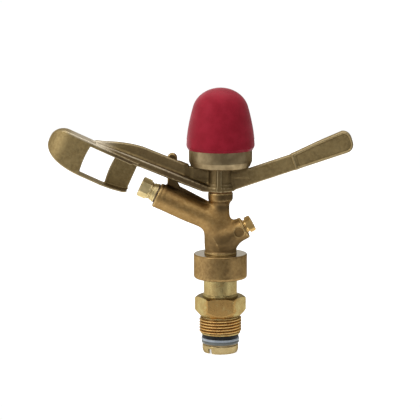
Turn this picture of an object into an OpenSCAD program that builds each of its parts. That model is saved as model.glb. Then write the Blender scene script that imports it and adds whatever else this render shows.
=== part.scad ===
// Full-circle brass impact sprinkler with two nozzles and a red spring cap.
// Millimetres, +Z up on the turning axis, z = 0 at the lower end of the inlet thread.
// The barrel and the spoon point to -X, the counterweight tail and the rear nozzle to +X.

/* [Inlet and bearing] */
// Outside diameter of the male inlet thread
thread_d = 26.44; // [25.8:0.02:27.2]
// Length of the inlet thread
thread_len = 9.9; // [8:0.1:11]
// Width across the flats of the inlet hexagon
inlet_hex_af = 27.2; // [26.8:0.1:30]
// Height of the inlet hexagon
inlet_hex_h = 12.3; // [11:0.1:13.2]
// Diameter of the polished neck above the hexagon
neck_d = 20.2; // [19.6:0.1:20.6]
// Outside diameter of the turning stem tube
tube_d = 16; // [15.6:0.1:16.2]
// Bore of the stem tube that the water rises through
tube_bore_d = 12.6; // [11:0.1:12.8]
// Radial running clearance between two pieces that turn on each other
running_gap = 0.05; // [0.03:0.01:0.09]

/* [Hood] */
// Outside diameter of the round hood over the bearing spring
hood_d = 32.8; // [30:0.1:34]
// Height of the hood
hood_h = 15.5; // [14:0.1:15.8]
// Wall of the hood
hood_wall = 1.8; // [1.4:0.1:2.2]

/* [Body] */
// Height of the hood's top face, where the body casting sits
body_z = 51; // [50.6:0.1:51.4]
// Diameter of the body's lower stem
stem_d = 19.2; // [18.8:0.1:19.6]
// Diameter of the barrel
barrel_d = 15; // [14.4:0.1:15.6]
// Rise of the barrel above level, in degrees
barrel_tilt = 25; // [23:0.5:27]
// Length of the barrel from the turning axis to its end face
barrel_len = 43.5; // [42:0.5:45]
// Diameter of the rear nozzle boss
boss_d = 13.5; // [13:0.1:14]
// Rise of the rear boss above level, in degrees
boss_tilt = 29; // [27:0.5:31]
// Diameter of the post that carries the arm
post_d = 11.3; // [11.3:0.1:11.4]
// Height of the post's top face
post_top = 89.4; // [89.2:0.1:89.6]

/* [Nozzles] */
// Width across the flats of the long-range nozzle's hexagon
range_hex_af = 11; // [10:0.5:12]
// Orifice diameter of the long-range nozzle
range_orifice_d = 4.8; // [3:0.2:5.4]
// Width across the flats of the spreader nozzle's hexagon
spreader_hex_af = 9; // [8:0.5:10]
// Orifice diameter of the spreader nozzle
spreader_orifice_d = 2.4; // [1.6:0.2:3]

/* [Arm] */
// Diameter of the arm's pivot shaft
shaft_d = 6; // [5.6:0.1:6.2]
// Rise of the arm's web above level, in degrees
arm_tilt = 22; // [21.5:0.5:22.5]
// Rise of the spoon above level, in degrees
spoon_tilt = 24.5; // [24:0.5:25]
// Depth of the spoon across the jet
spoon_depth = 14; // [12:0.5:15]
// Thickness of the spoon's walls
spoon_wall = 1.8; // [1.4:0.1:2.2]
// Rise of the tail above level, in degrees
tail_tilt = 18.5; // [17.5:0.5:19.5]
// Height of the narrow part of the tail
tail_h = 9.9; // [9:0.1:10.6]
// Thickness of the tail plate
tail_t = 5; // [4:0.2:5.4]

/* [Spring housing] */
// Outside diameter of the brass spring cup
cup_d = 39.4; // [38.6:0.2:40]
// Height of the brass spring cup
cup_h = 12.2; // [11.8:0.1:12.6]
// Wall of the red cap
cap_wall = 1.7; // [1.4:0.1:2.2]

/* [Hidden] */
$fn = 96;

cast_brass = [0.55, 0.42, 0.24];
arm_brass = [0.42, 0.34, 0.20];
bright_brass = [0.78, 0.60, 0.26];

// Inlet stack, from the stem tube's slotted flange up to the hood
fixed_gap = 0.02;
thread_r = thread_d / 2;
tube_r = tube_d / 2;
neck_r = neck_d / 2;
nipple_bottom = -0.9;
relief_h = 1.8;
relief_r = thread_r - 2;
hex_z = thread_len + relief_h;
hex_corner_r = inlet_hex_af / 2 / cos(30);
flare_z = hex_z + inlet_hex_h;
neck_z = flare_z + 1.5;
neck_top = 38;
rubber_h = 1.5;
nylon_h = 3.4;
backing_h = 0.8;
flange_h = 5.1;
flange_r = 10.95;
flange_cut = 0.8;
slot_w = 2;
slot_h = 2.9;
slot_turn = 233;
washer_bore_r = tube_r + 0.1;
hood_z = body_z - hood_h;
hood_r = hood_d / 2;
hood_top_t = 2;
spring_washer_t = 1;
spring_wire_r = 1;
spring_coil_r = 9.5;
tube_top = body_z + 10;

// Body casting
stem_r = stem_d / 2;
shoulder_z = body_z + 13.5;
shoulder_r = 2;
barrel_r = barrel_d / 2;
barrel_z = 69.8;
elbow_r = 13.7;
elbow_x = barrel_r - stem_r;
elbow_leg = elbow_r * tan((90 - barrel_tilt) / 2);
elbow_z = barrel_z - elbow_x * tan(barrel_tilt) - elbow_leg;
elbow_end = -elbow_x / cos(barrel_tilt) + elbow_leg;
barrel_end = barrel_len - 2.6;
barrel_bore_r = 5.4;
boss_r = boss_d / 2;
boss_z = 59.4;
boss_len = 17.3;
boss_way_r = 2.2;
boss_bore_r = 3.6;
post_r = post_d / 2;
collar_r = 7.75;
shaft_r = shaft_d / 2;
shaft_bottom = 78.5;
shaft_top = 140.5;
spot_r = 2.9;
spot_x = 11.6;
spot_z = 65.2;
spot_depth = 0.75;

// Anvil lug, with the fin that joins it to the barrel and the post
lug_front = 2.6;
lug_back = 7;
lug_left = -33;
lug_right = -26.8;
lug_top = 113.4;
lug_foot = 84;
lug_waist = 93.6;
lug_sweep_r = 3;
fin_high = 95;
fin_bend = 92.3;
fin_post_x = -5;
fin_post_z = 81.6;
fin_foot_z = 76;
fin_far_x = -20;
fin_far_z = 80;

// Nozzles, measured along the barrel and the boss
screw_gap = 0.03;
seal_t = 0.6;
range_shank = 10.5;
range_round = 5.5;
range_round_r = 5.55;
range_hex_len = 5.8;
spreader_neck = 1.8;
spreader_hex_len = 3.1;

// Arm and what turns with it
hub_bottom = 90.3;
hub_r = 7.2;
disc_r = 8.3;
disc_h = 2.8;
bushing_r = 5;
cup_z = 105.4;
cup_r = cup_d / 2;
cup_floor = 2.6;
cup_wall = 2;
cup_top = cup_z + cup_h;
web_back = 2.5;
web_t = 4.5;
hub_web_t = 3;
web_step = -20.5;
hub_rib_x = -2.2;
saddle_r = 17.2;
saddle_z = 99;
hub_rib_w = 2.8;
web_z = 86;
flange_front = -5.5;
flange_top = 4.3;
web_low = 0.2;
web_top = 11.3;
web_bend = -55;
flange_tip = -84;
spoon_z = 69.8;
spoon_front = -spoon_depth / 2;
spoon_back = spoon_depth / 2;
spoon_mouth = -62;
spoon_tip = -118.7;
spoon_low = -8.2;
spoon_high = 14.1;
top_rail_t = 2;
low_rail_t = 1.4;
vane_y = 4.4;
window_near = -77;
window_far = -94.5;
tail_z = 89;
tail_low = -0.6;
tail_step = 49.1;
tail_step_high = 9.5;
paddle_end = 82.6;
paddle_r = 5.3;
paddle_low_z = 4.7;
paddle_high_z = 7.9;
paddle_proud = 0.6;
paddle_rim = 1.3;
arm_wire_r = 0.9;
arm_coil_r = 11.2;
retainer_z = 130;
retainer_r = 13.6;
retainer_t = 2;
sleeve_r = 6.6;
retainer_washer_t = 1;
nut_af = 10;
nut_h = 5;
lip_r = 21.2;
lip_h = 0.8;
side_h = 24.6;
side_drop = 4.2;
cap_top = 154.6;

// Points of a round stretch, from one angle to the other
function arc(cx, cy, r, from, to, steps = 8) =
    [for (i = [0 : steps]) let (a = from + (to - from) * i / steps) [cx + r * cos(a), cy + r * sin(a)]];

// Points of a quarter of an ellipse, from one angle to the other
function oval(cx, cy, rx, ry, from, to, steps = 14) =
    [for (i = [0 : steps]) let (a = from + (to - from) * i / steps) [cx + rx * cos(a), cy + ry * sin(a)]];

// Turns a profile of radius and height points into a solid about the axis
module turned(points) {
    rotate_extrude() polygon(points);
}

// A tube about the axis
module ring(outer_r, inner_r, z, h) {
    translate([0, 0, z]) difference() {
        cylinder(r = outer_r, h = h);
        translate([0, 0, -1]) cylinder(r = inner_r, h = h + 2);
    }
}

// Stands children up along the barrel's rising axis, towards -X
module along_barrel() {
    translate([0, 0, barrel_z]) rotate([0, barrel_tilt - 90, 0]) children();
}

// Stands children up along the rear boss's rising axis, towards +X
module along_boss() {
    translate([0, 0, boss_z]) rotate([0, 90 - boss_tilt, 0]) children();
}

// A plate whose outline is drawn level and then tilted, between two depths
module plate(tilt, z, front, back) {
    translate([0, back, z]) rotate([0, tilt, 0]) rotate([90, 0, 0]) linear_extrude(back - front) children();
}

// A hexagonal bar with both ends' corners turned off, flats facing front and back
module hexagon(af, z, h, low_cut, high_cut) {
    corner = af / 2 / cos(30);
    intersection() {
        translate([0, 0, z]) cylinder(r = corner, h = h, $fn = 6);
        turned([[0, z], [corner - low_cut[0], z], [corner + 0.01, z + low_cut[1]],
                [corner + 0.01, z + h - high_cut[1]], [corner - high_cut[0], z + h], [0, z + h]]);
    }
}

// Round wire wound as a helix between two heights
module coil(mean_r, wire_r, low, high, turns, start = 0) {
    sides = 8;
    per_turn = 20;
    rings = ceil(turns * per_turn);
    bottom = low + wire_r;
    rise = high - low - 2 * wire_r;
    function at(i, k) =
        let (t = i / rings, a = start + 360 * turns * t, b = 360 * (k + 0.5) / sides,
             r = mean_r + wire_r * cos(b))
        [r * cos(a), r * sin(a), bottom + rise * t + wire_r * sin(b)];
    points = [for (i = [0 : rings], k = [0 : sides - 1]) at(i, k)];
    skin = [for (i = [0 : rings - 1], k = [0 : sides - 1])
        let (n = (k + 1) % sides)
        [i * sides + k, (i + 1) * sides + k, (i + 1) * sides + n, i * sides + n]];
    first = [for (k = [0 : sides - 1]) k];
    last = [for (k = [sides - 1 : -1 : 0]) rings * sides + k];
    polyhedron(points, concat(skin, [first, last]), convexity = 10);
}

// Fixed nipple: screws into the riser and carries the turning head
module bearing_nipple() {
    flare_r = neck_r + 0.75;
    color(bright_brass) difference() {
        union() {
            turned([[0, nipple_bottom], [thread_r - 0.9, nipple_bottom], [thread_r, 0],
                    [thread_r, thread_len], [relief_r, thread_len + 0.4], [relief_r, hex_z + 1],
                    [0, hex_z + 1]]);
            hexagon(inlet_hex_af, hex_z, inlet_hex_h, [hex_corner_r - relief_r - 0.4, 3.1], [0.8, 0.5]);
            turned([[0, flare_z - 1], [flare_r, flare_z - 1], [flare_r, flare_z + 0.9], [neck_r, neck_z],
                    [neck_r, neck_top - 0.6], [neck_r - 0.6, neck_top], [0, neck_top]]);
        }
        translate([0, 0, nipple_bottom - 1]) cylinder(r = tube_r + running_gap, h = neck_top + 3);
    }
}

// Black rubber washer against the nipple's lower face
module rubber_washer() {
    color([0.1, 0.1, 0.11]) ring(11.45, washer_bore_r, nipple_bottom - rubber_h, rubber_h);
}

// Grey nylon friction washer with a rounded rim
module nylon_washer() {
    low = nipple_bottom - rubber_h - nylon_h;
    color([0.42, 0.47, 0.52]) turned(concat(
        [[washer_bore_r, low]], arc(11.75 - 1, low + 1, 1, -90, 0, 5),
        arc(11.75 - 1, low + nylon_h - 1, 1, 0, 90, 5), [[washer_bore_r, low + nylon_h]]));
}

// Thin backing washer on the stem tube's flange
module backing_washer() {
    low = nipple_bottom - rubber_h - nylon_h - backing_h;
    color([0.35, 0.31, 0.2]) ring(11, washer_bore_r, low, backing_h);
}

// Turning stem tube with its slotted lower flange
module stem_tube() {
    high = nipple_bottom - rubber_h - nylon_h - backing_h;
    low = high - flange_h;
    color(bright_brass) difference() {
        union() {
            turned([[0, low], [flange_r - flange_cut, low], [flange_r - 0.15, low + 1.4],
                    [flange_r, low + 2.2], [flange_r, high - 0.4], [flange_r - 0.4, high], [0, high]]);
            translate([0, 0, high - 1]) cylinder(r = tube_r, h = tube_top - high + 1);
        }
        translate([0, 0, low - 1]) cylinder(r = tube_bore_d / 2, h = tube_top - low + 2);
        rotate([0, 0, slot_turn]) translate([-15, -slot_w / 2, low - 1]) cube([30, slot_w, slot_h + 1]);
    }
}

// Washer under the bearing spring, on the nipple's neck
module lower_spring_washer() {
    color([0.75, 0.75, 0.74]) ring(10.4, washer_bore_r, neck_top, spring_washer_t);
}

// Compression spring that pulls the head up against the washers
module bearing_spring() {
    low = neck_top + spring_washer_t;
    high = body_z - hood_top_t - spring_washer_t;
    color([0.6, 0.6, 0.62]) coil(spring_coil_r, spring_wire_r, low, high, 3.25);
}

// Washer over the bearing spring, under the hood's top
module upper_spring_washer() {
    color([0.75, 0.75, 0.74])
        ring(10.6, washer_bore_r, body_z - hood_top_t - spring_washer_t, spring_washer_t);
}

// Round hood that keeps grit out of the bearing
module spring_hood() {
    inner_r = hood_r - hood_wall;
    color(cast_brass) turned(concat(
        [[washer_bore_r, body_z], [washer_bore_r, body_z - hood_top_t], [inner_r, body_z - hood_top_t],
         [inner_r, hood_z]],
        arc(hood_r - 1.6, hood_z + 1.6, 1.6, -84, 0, 6),
        arc(hood_r - 0.8, body_z - 0.8, 0.8, 0, 90, 5)));
}

// Outline of the anvil lug and its gusset, drawn upright
module lug_outline() {
    mid = (lug_left + lug_right) / 2;
    top_r = (lug_right - lug_left) / 2;
    sweep_x = lug_left - lug_sweep_r;
    polygon(concat([[lug_right, lug_foot]], arc(mid, lug_top - top_r, top_r, 0, 180, 12),
                   arc(sweep_x, lug_waist, lug_sweep_r, 0, -62, 6), [[sweep_x, lug_foot]]));
    polygon([[lug_right, lug_foot], [lug_right, fin_high], [lug_right + 1.6, fin_bend],
             [fin_post_x, fin_post_z], [fin_post_x, fin_foot_z], [fin_far_x, fin_far_z]]);
}

// Rounded corner between the post and the rear boss, and the one under the boss
module boss_fillets() {
    high_r = 4.4;
    low_r = 3.2;
    plate(0, 0, -3.6, 3.6) difference() {
        polygon([[3, 66], [3, 78], [post_r, 78], [11, 72.6], [11, 66]]);
        translate([post_r + high_r, 76.3]) circle(r = high_r);
    }
    plate(0, 0, -4.6, 4.6) difference() {
        polygon([[5, 54.6], [stem_r, 54.6], [13.4, 59], [13.4, 62], [5, 62]]);
        translate([stem_r + low_r, 55]) circle(r = low_r);
    }
}

// Body casting: stem, elbow, barrel, rear boss, post and anvil lug in one piece
module sprinkler_body() {
    color(cast_brass) difference() {
        union() {
            turned(concat([[0, body_z], [10.25, body_z]], arc(9.85, body_z + 1.3, 0.4, 0, 90, 4),
                          [[stem_r, body_z + 2.1], [stem_r, shoulder_z - shoulder_r]],
                          arc(stem_r - shoulder_r, shoulder_z - shoulder_r, shoulder_r, 0, 90, 5),
                          [[0, shoulder_z]]));
            translate([elbow_x, 0, body_z + 4]) cylinder(r = barrel_r, h = elbow_z - body_z - 3.9);
            translate([elbow_x - elbow_r, 0, elbow_z]) rotate([90, 0, 0])
                rotate_extrude(angle = 90 - barrel_tilt) translate([elbow_r, 0]) circle(r = barrel_r);
            along_barrel() turned([[0, elbow_end - 0.1], [barrel_r, elbow_end - 0.1],
                                   [barrel_r, barrel_end], [barrel_r - 0.35, barrel_end + 0.4],
                                   [barrel_r - 0.1, barrel_end + 0.7], [barrel_r - 0.1, barrel_len - 0.6],
                                   [barrel_r - 0.7, barrel_len], [0, barrel_len]]);
            translate([0, 0, shoulder_z - 1]) cylinder(r = post_r, h = post_top - shoulder_z);
            turned([[0, post_top - 6.6], [post_r, post_top - 6.6], [collar_r, post_top - 4.6],
                    [collar_r, post_top - 0.4], [collar_r - 0.4, post_top], [0, post_top]]);
            along_boss() turned([[0, 0], [boss_r, 0], [boss_r, boss_len - 0.7], [boss_r - 0.7, boss_len],
                                 [0, boss_len]]);
            boss_fillets();
            plate(0, 0, lug_front, lug_back) lug_outline();
        }
        translate([0, 0, body_z - 1]) cylinder(r = tube_r + fixed_gap, h = tube_top - body_z + 1);
        translate([0, 0, tube_top - 1]) cylinder(r = tube_bore_d / 2, h = 4);
        translate([0, 0, tube_top + 3]) sphere(r = tube_bore_d / 2);
        along_barrel() translate([0, 0, 2]) cylinder(r = barrel_bore_r, h = barrel_len);
        along_boss() translate([0, 0, 2]) cylinder(r = boss_way_r, h = boss_len);
        along_boss() translate([0, 0, boss_len - 7]) cylinder(r = boss_bore_r, h = 9);
        translate([0, 0, shaft_bottom]) cylinder(r = shaft_r + fixed_gap, h = post_top - shaft_bottom + 1);
        translate([spot_x, spot_depth - boss_r, spot_z]) rotate([90, 0, 0]) cylinder(r = spot_r, h = 5);
    }
}

// Long-range nozzle in the barrel's end
module range_nozzle() {
    face = barrel_len + seal_t;
    hex_at = barrel_len + range_round;
    end = hex_at + range_hex_len;
    orifice_r = range_orifice_d / 2;
    color(bright_brass) along_barrel() difference() {
        union() {
            turned([[0, barrel_len - range_shank], [barrel_bore_r - screw_gap, barrel_len - range_shank],
                    [barrel_bore_r - screw_gap, face], [range_round_r + 0.5, face],
                    [range_round_r + 0.5, face + 1], [range_round_r, face + 1.2],
                    [range_round_r, face + 2.6], [range_round_r - 0.5, face + 2.9],
                    [range_round_r - 0.5, face + 3.5], [range_round_r, face + 3.8],
                    [range_round_r, hex_at + 0.2], [range_round_r - 0.4, hex_at + 0.6], [0, hex_at + 0.6]]);
            rotate([0, 0, 10]) hexagon(range_hex_af, hex_at, range_hex_len, [0.3, 0.3], [0.7, 0.7]);
        }
        turned([[0, barrel_len - range_shank - 1], [4.5, barrel_len - range_shank - 1],
                [4.5, barrel_len - range_shank + 4], [orifice_r, end - 4], [orifice_r, end - 1.2],
                [orifice_r + 0.9, end + 0.1], [0, end + 0.1]]);
    }
}

// Fibre seal between the long-range nozzle and the barrel's end face
module range_nozzle_seal() {
    color([0.3, 0.2, 0.15]) along_barrel() ring(6, barrel_bore_r + 0.05, barrel_len, seal_t);
}

// Cross of four fins that straightens the stream before the nozzle
module stream_straightener() {
    fin_t = 0.8;
    fin_len = 14;
    start = barrel_len - range_shank - fin_len;
    color([0.9, 0.9, 0.86]) along_barrel() intersection() {
        translate([0, 0, start]) cylinder(r = barrel_bore_r - screw_gap, h = fin_len);
        union() {
            for (turn = [45, 135])
                rotate([0, 0, turn]) translate([-6, -fin_t / 2, start]) cube([12, fin_t, fin_len]);
        }
    }
}

// Small spreader nozzle in the rear boss
module spreader_nozzle() {
    hex_at = boss_len + spreader_neck;
    end = hex_at + spreader_hex_len;
    shank_r = boss_bore_r - screw_gap;
    orifice_r = spreader_orifice_d / 2;
    color(bright_brass) along_boss() difference() {
        union() {
            turned([[0, boss_len - 6], [shank_r, boss_len - 6], [shank_r, boss_len], [4.6, boss_len],
                    [4.6, boss_len + 0.5], [4, boss_len + 0.7], [4, hex_at + 0.5], [0, hex_at + 0.5]]);
            hexagon(spreader_hex_af, hex_at, spreader_hex_len, [0.3, 0.3], [0.6, 0.6]);
        }
        turned([[0, boss_len - 7], [2.4, boss_len - 7], [2.4, boss_len - 3], [orifice_r, end - 3],
                [orifice_r, end + 0.1], [0, end + 0.1]]);
    }
}

// Steel shaft fixed in the post, that the arm swings on
module pivot_shaft() {
    color([0.7, 0.7, 0.71]) turned([[0, shaft_bottom], [shaft_r, shaft_bottom], [shaft_r, shaft_top - 0.6],
                                    [shaft_r - 0.6, shaft_top], [0, shaft_top]]);
}

// Thrust washer between the post and the arm
module thrust_washer() {
    color([0.6, 0.4, 0.2]) ring(7.2, shaft_r + 0.1, post_top, hub_bottom - post_top - running_gap);
}

// Outline of the arm's web, in the arm's own tilt, running out on the spoon
module web_outline() {
    run_out = [for (i = [0 : 10]) 3.2 * i];
    polygon(concat([[-2, web_low], [-2, web_top]],
                   [for (d = run_out) [web_bend - d, web_top - 0.033 * pow(d, 1.6)]],
                   [[web_bend - 5, web_low]]));
}

// Outline of the arm's lower flange, tapering out along the spoon's upper rail
module flange_outline() {
    polygon([[0, web_low], [0, flange_top], [web_bend - 1, flange_top], [flange_tip, flange_top - 0.4],
             [flange_tip, flange_top - 1.7], [web_bend + 2, web_low]]);
}

// The spoon's outline as seen along Y, thinned at the top and at the bottom;
// its lower edge rises a little towards the mouth
module spoon_outline(thin_top = 0, thin_low = 0) {
    low = spoon_low + thin_low;
    mouth = spoon_mouth + (thin_top > 0 ? 1 : 0);
    far = spoon_tip + thin_top;
    bend = window_far + 2.5;
    polygon(concat([[mouth - 0.8, low + 2.3], [mouth, low + 3.3], [mouth, spoon_high - thin_top]],
                   arc(spoon_tip + 9.4, spoon_high - 9.4, 9.4 - thin_top, 90, 180, 12),
                   oval(bend, 3, bend - far, 3 - low, 180, 270, 18),
                   [[-78, low], [-71, low + 0.5], [mouth - 2.6, low + 1.6]]));
}

// The spoon's plan as seen along its height: its far end curves back from the front
module spoon_plan(wall = 0) {
    bend = spoon_depth - 1;
    far = spoon_tip + wall;
    front = spoon_front + wall;
    back = wall > 0 ? spoon_back + 5 : spoon_back;
    polygon(concat([[spoon_mouth + (wall > 0 ? 5 : 0), front], [spoon_mouth + (wall > 0 ? 5 : 0), back],
                    [far, back]],
                   arc(spoon_tip + bend, spoon_front + bend, bend - wall, 180, 270, 12)));
}

// Stands a plan outline up along the spoon's height, in the spoon's tilt
module spoon_plan_block(low, high) {
    translate([0, 0, spoon_z]) rotate([0, spoon_tilt, 0]) translate([0, 0, low]) linear_extrude(high - low)
        children();
}

// Spoon: two rails, the curved bucket, the jet window and the inner vane
module spoon() {
    difference() {
        intersection() {
            plate(spoon_tilt, spoon_z, spoon_front, spoon_back) spoon_outline();
            spoon_plan_block(spoon_low - 1, spoon_high + 1) spoon_plan();
        }
        intersection() {
            plate(spoon_tilt, spoon_z, spoon_front - 1, spoon_back + 6)
                spoon_outline(top_rail_t, low_rail_t);
            spoon_plan_block(spoon_low - 1, spoon_high + 1) spoon_plan(spoon_wall);
        }
        plate(spoon_tilt, spoon_z, spoon_front - 1, spoon_back + 1) intersection() {
            spoon_outline(top_rail_t, low_rail_t);
            translate([window_far, -20]) square([60, 40]);
        }
    }
    intersection() {
        plate(spoon_tilt, spoon_z, spoon_front, spoon_back) spoon_outline();
        spoon_plan_block(spoon_low, spoon_high)
            polygon([[spoon_mouth, vane_y], [spoon_mouth, vane_y + 2], [window_near + 3, vane_y + 1.2],
                     [window_near, vane_y], [window_near, vane_y - 1.6], [window_near + 3, vane_y - 1]]);
    }
}

// Outline of the tail and its paddle, in the tail's own tilt, shrunk by an inset
module tail_outline(inset = 0) {
    low = tail_low + inset;
    high = tail_step_high - inset;
    end_r = paddle_r - inset;
    polygon(concat([[tail_step + inset, low]], arc(paddle_end, paddle_low_z, end_r, -90, 0, 8),
                   arc(paddle_end, paddle_high_z, end_r, 0, 80, 8),
                   [[tail_step + 17, high + 2.1], [tail_step + inset, high]]));
}

// Flat tail with its counterweight paddle and the paddle's bare sunk face
module tail() {
    front = web_back - tail_t;
    difference() {
        union() {
            plate(-tail_tilt, tail_z, front, web_back)
                translate([0, tail_low]) square([tail_step + 1, tail_h]);
            plate(-tail_tilt, tail_z, front - paddle_proud, web_back + paddle_proud) tail_outline();
        }
        plate(-tail_tilt, tail_z, front - 2, front) tail_outline(paddle_rim);
        plate(-tail_tilt, tail_z, web_back, web_back + 2) tail_outline(paddle_rim);
    }
}

// Root of the web behind the hub, flaring back to meet the cup
module web_root() {
    flare_r = 9.6;
    intersection() {
        plate(arm_tilt, web_z, 0, cup_r) web_outline();
        translate([0, 0, hub_bottom]) linear_extrude(30) difference() {
            polygon([[-25.4, 0], [-25.4, web_back], [-16, 12.6], [-12, 14.6], [-4, 6], [-4, 0]]);
            translate([-25.6, web_back + flare_r]) circle(r = flare_r);
        }
    }
}

// Fills the web and the tail up to the cup's underside, beside the hub
module saddle() {
    size = [saddle_r, cup_z + 1 - saddle_z];
    plate(0, 0, web_back - hub_web_t, web_back) translate([-saddle_r, saddle_z]) square(size);
    plate(0, 0, web_back - tail_t, web_back) translate([0, saddle_z]) square(size);
}

// Impact arm casting: hub, web with flange, spoon and tail in one piece
module impact_arm() {
    color(arm_brass) difference() {
        union() {
            plate(arm_tilt, web_z, web_back - hub_web_t, web_back) web_outline();
            intersection() {
                plate(arm_tilt, web_z, web_back - web_t, web_back) web_outline();
                translate([-120, -30, 80]) cube([120 + web_step, 60, 60]);
            }
            plate(arm_tilt, web_z, flange_front, web_back) flange_outline();
            web_root();
            saddle();
            tail();
            spoon();
            translate([0, 0, hub_bottom]) cylinder(r = disc_r, h = disc_h);
            translate([0, 0, hub_bottom]) cylinder(r = disc_r - 0.6, h = disc_h + 2.1);
            translate([0, 0, hub_bottom]) cylinder(r = hub_r, h = cup_z - hub_bottom);
            translate([hub_rib_x, -hub_r - 1.1, hub_bottom]) cube([hub_rib_w, 3, cup_z - hub_bottom]);
        }
        translate([0, 0, cup_z]) cylinder(r = cup_r + 0.2, h = 20);
        translate([0, 0, hub_bottom - 15]) cylinder(r = 22, h = 15);
        translate([0, 0, hub_bottom - 1]) cylinder(r = bushing_r + fixed_gap, h = cup_z - hub_bottom + 2);
    }
}

// Flanged bronze bushing through the hub and the cup's floor
module arm_bushing() {
    flange_low = cup_z + cup_floor;
    color([0.6, 0.4, 0.2]) difference() {
        union() {
            translate([0, 0, hub_bottom]) cylinder(r = bushing_r, h = flange_low - hub_bottom + 0.5);
            translate([0, 0, flange_low]) cylinder(r = bushing_r + 2, h = 1.4);
        }
        translate([0, 0, hub_bottom - 1]) cylinder(r = shaft_r + running_gap, h = 30);
    }
}

// Brass cup that holds the arm spring and carries the cap
module spring_cup() {
    inner_r = cup_r - cup_wall;
    hole_r = bushing_r + fixed_gap;
    floor_z = cup_z + cup_floor;
    color(cast_brass) turned([[hole_r, cup_z], [cup_r - 2.6, cup_z], [cup_r - 1.4, cup_z + 0.9],
                              [cup_r - 0.2, cup_z + 4], [cup_r, cup_z + 4.6], [cup_r, cup_top],
                              [inner_r, cup_top], [inner_r, floor_z + 1], [inner_r - 1, floor_z],
                              [hole_r, floor_z]]);
}

// Torsion spring that brings the arm back to the lug
module arm_spring() {
    low = cup_z + cup_floor + 0.1;
    color([0.6, 0.6, 0.62]) coil(arm_coil_r, arm_wire_r, low, retainer_z - 0.2, 7.5, 90);
}

// Flanged sleeve on the shaft that anchors the spring's upper end
module spring_retainer() {
    low = cup_z + cup_floor + 1.5;
    color([0.88, 0.87, 0.82]) difference() {
        union() {
            translate([0, 0, low]) cylinder(r = sleeve_r, h = retainer_z - low + 0.5);
            translate([0, 0, retainer_z]) cylinder(r = retainer_r, h = retainer_t);
        }
        translate([0, 0, low - 1]) cylinder(r = shaft_r + fixed_gap, h = 30);
        translate([retainer_r - 5.6, -1, retainer_z - 1]) cube([8, 2, retainer_t + 2]);
    }
}

// Flat washer under the shaft nut
module retainer_washer() {
    color([0.75, 0.75, 0.74]) ring(6, shaft_r + 0.1, retainer_z + retainer_t, retainer_washer_t);
}

// Hexagonal nut that holds the retainer down on the shaft
module shaft_nut() {
    low = retainer_z + retainer_t + retainer_washer_t;
    color(bright_brass) difference() {
        hexagon(nut_af, low, nut_h, [0.4, 0.3], [0.6, 0.5]);
        translate([0, 0, low - 1]) cylinder(r = shaft_r + fixed_gap, h = nut_h + 2);
    }
}

// Points of the red cap's outer side, from its lower lip to its crown, thinned by a wall. The side narrows
// as t^1.7; the crown is an ellipse that carries on at the side's slope.
function cap_side(wall = 0) =
    let (side_z = cup_top + lip_h, join_r = lip_r - side_drop - wall, join_z = side_z + side_h,
         join_h = cap_top - join_z - wall, slope = 1.7 * side_drop / side_h,
         k = slope * join_h / join_r, start = asin(k / (1 - k)), crown_r = join_r / cos(start),
         crown_h = join_h / (1 - sin(start)), crown_z = cap_top - wall - crown_h)
    concat([for (t = [0 : 0.1 : 0.95]) [lip_r - side_drop * pow(t, 1.7) - wall, side_z + side_h * t]],
           [for (i = [0 : 14])
               let (a = start + (90 - start) * i / 14)
               [crown_r * cos(a), crown_z + crown_h * sin(a)]]);

// Red plastic cap that plugs into the cup over the spring
module spring_cap() {
    plug_r = cup_r - cup_wall - screw_gap;
    skirt_r = cup_r + 0.05;
    color([0.55, 0.14, 0.2]) difference() {
        turned(concat([[0, cup_top - 4], [plug_r, cup_top - 4], [plug_r, cup_top], [skirt_r, cup_top],
                       [skirt_r, cup_top - 1.2], [skirt_r + 0.3, cup_top - 1.2]], cap_side()));
        turned(concat([[0, cup_top - 5], [plug_r - 1.5, cup_top - 5], [plug_r - 1.5, cup_top + 0.6]],
                      [for (p = cap_side(cap_wall)) if (p[1] > cup_top + 2) p]));
    }
}

bearing_nipple();
rubber_washer();
nylon_washer();
backing_washer();
stem_tube();
lower_spring_washer();
bearing_spring();
upper_spring_washer();
spring_hood();
sprinkler_body();
range_nozzle();
range_nozzle_seal();
stream_straightener();
spreader_nozzle();
pivot_shaft();
thrust_washer();
impact_arm();
arm_bushing();
spring_cup();
arm_spring();
spring_retainer();
retainer_washer();
shaft_nut();
spring_cap();
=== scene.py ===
"""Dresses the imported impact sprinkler: blended castings, turned brass with a real thread, and their finishes.

Shapes are worked out in millimetres, in the CAD frame: +Z up on the turning axis, the barrel and the spoon
towards -X, the tail towards +X, the lug's side towards +Y. Every mesh is written out in metres.
"""

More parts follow.
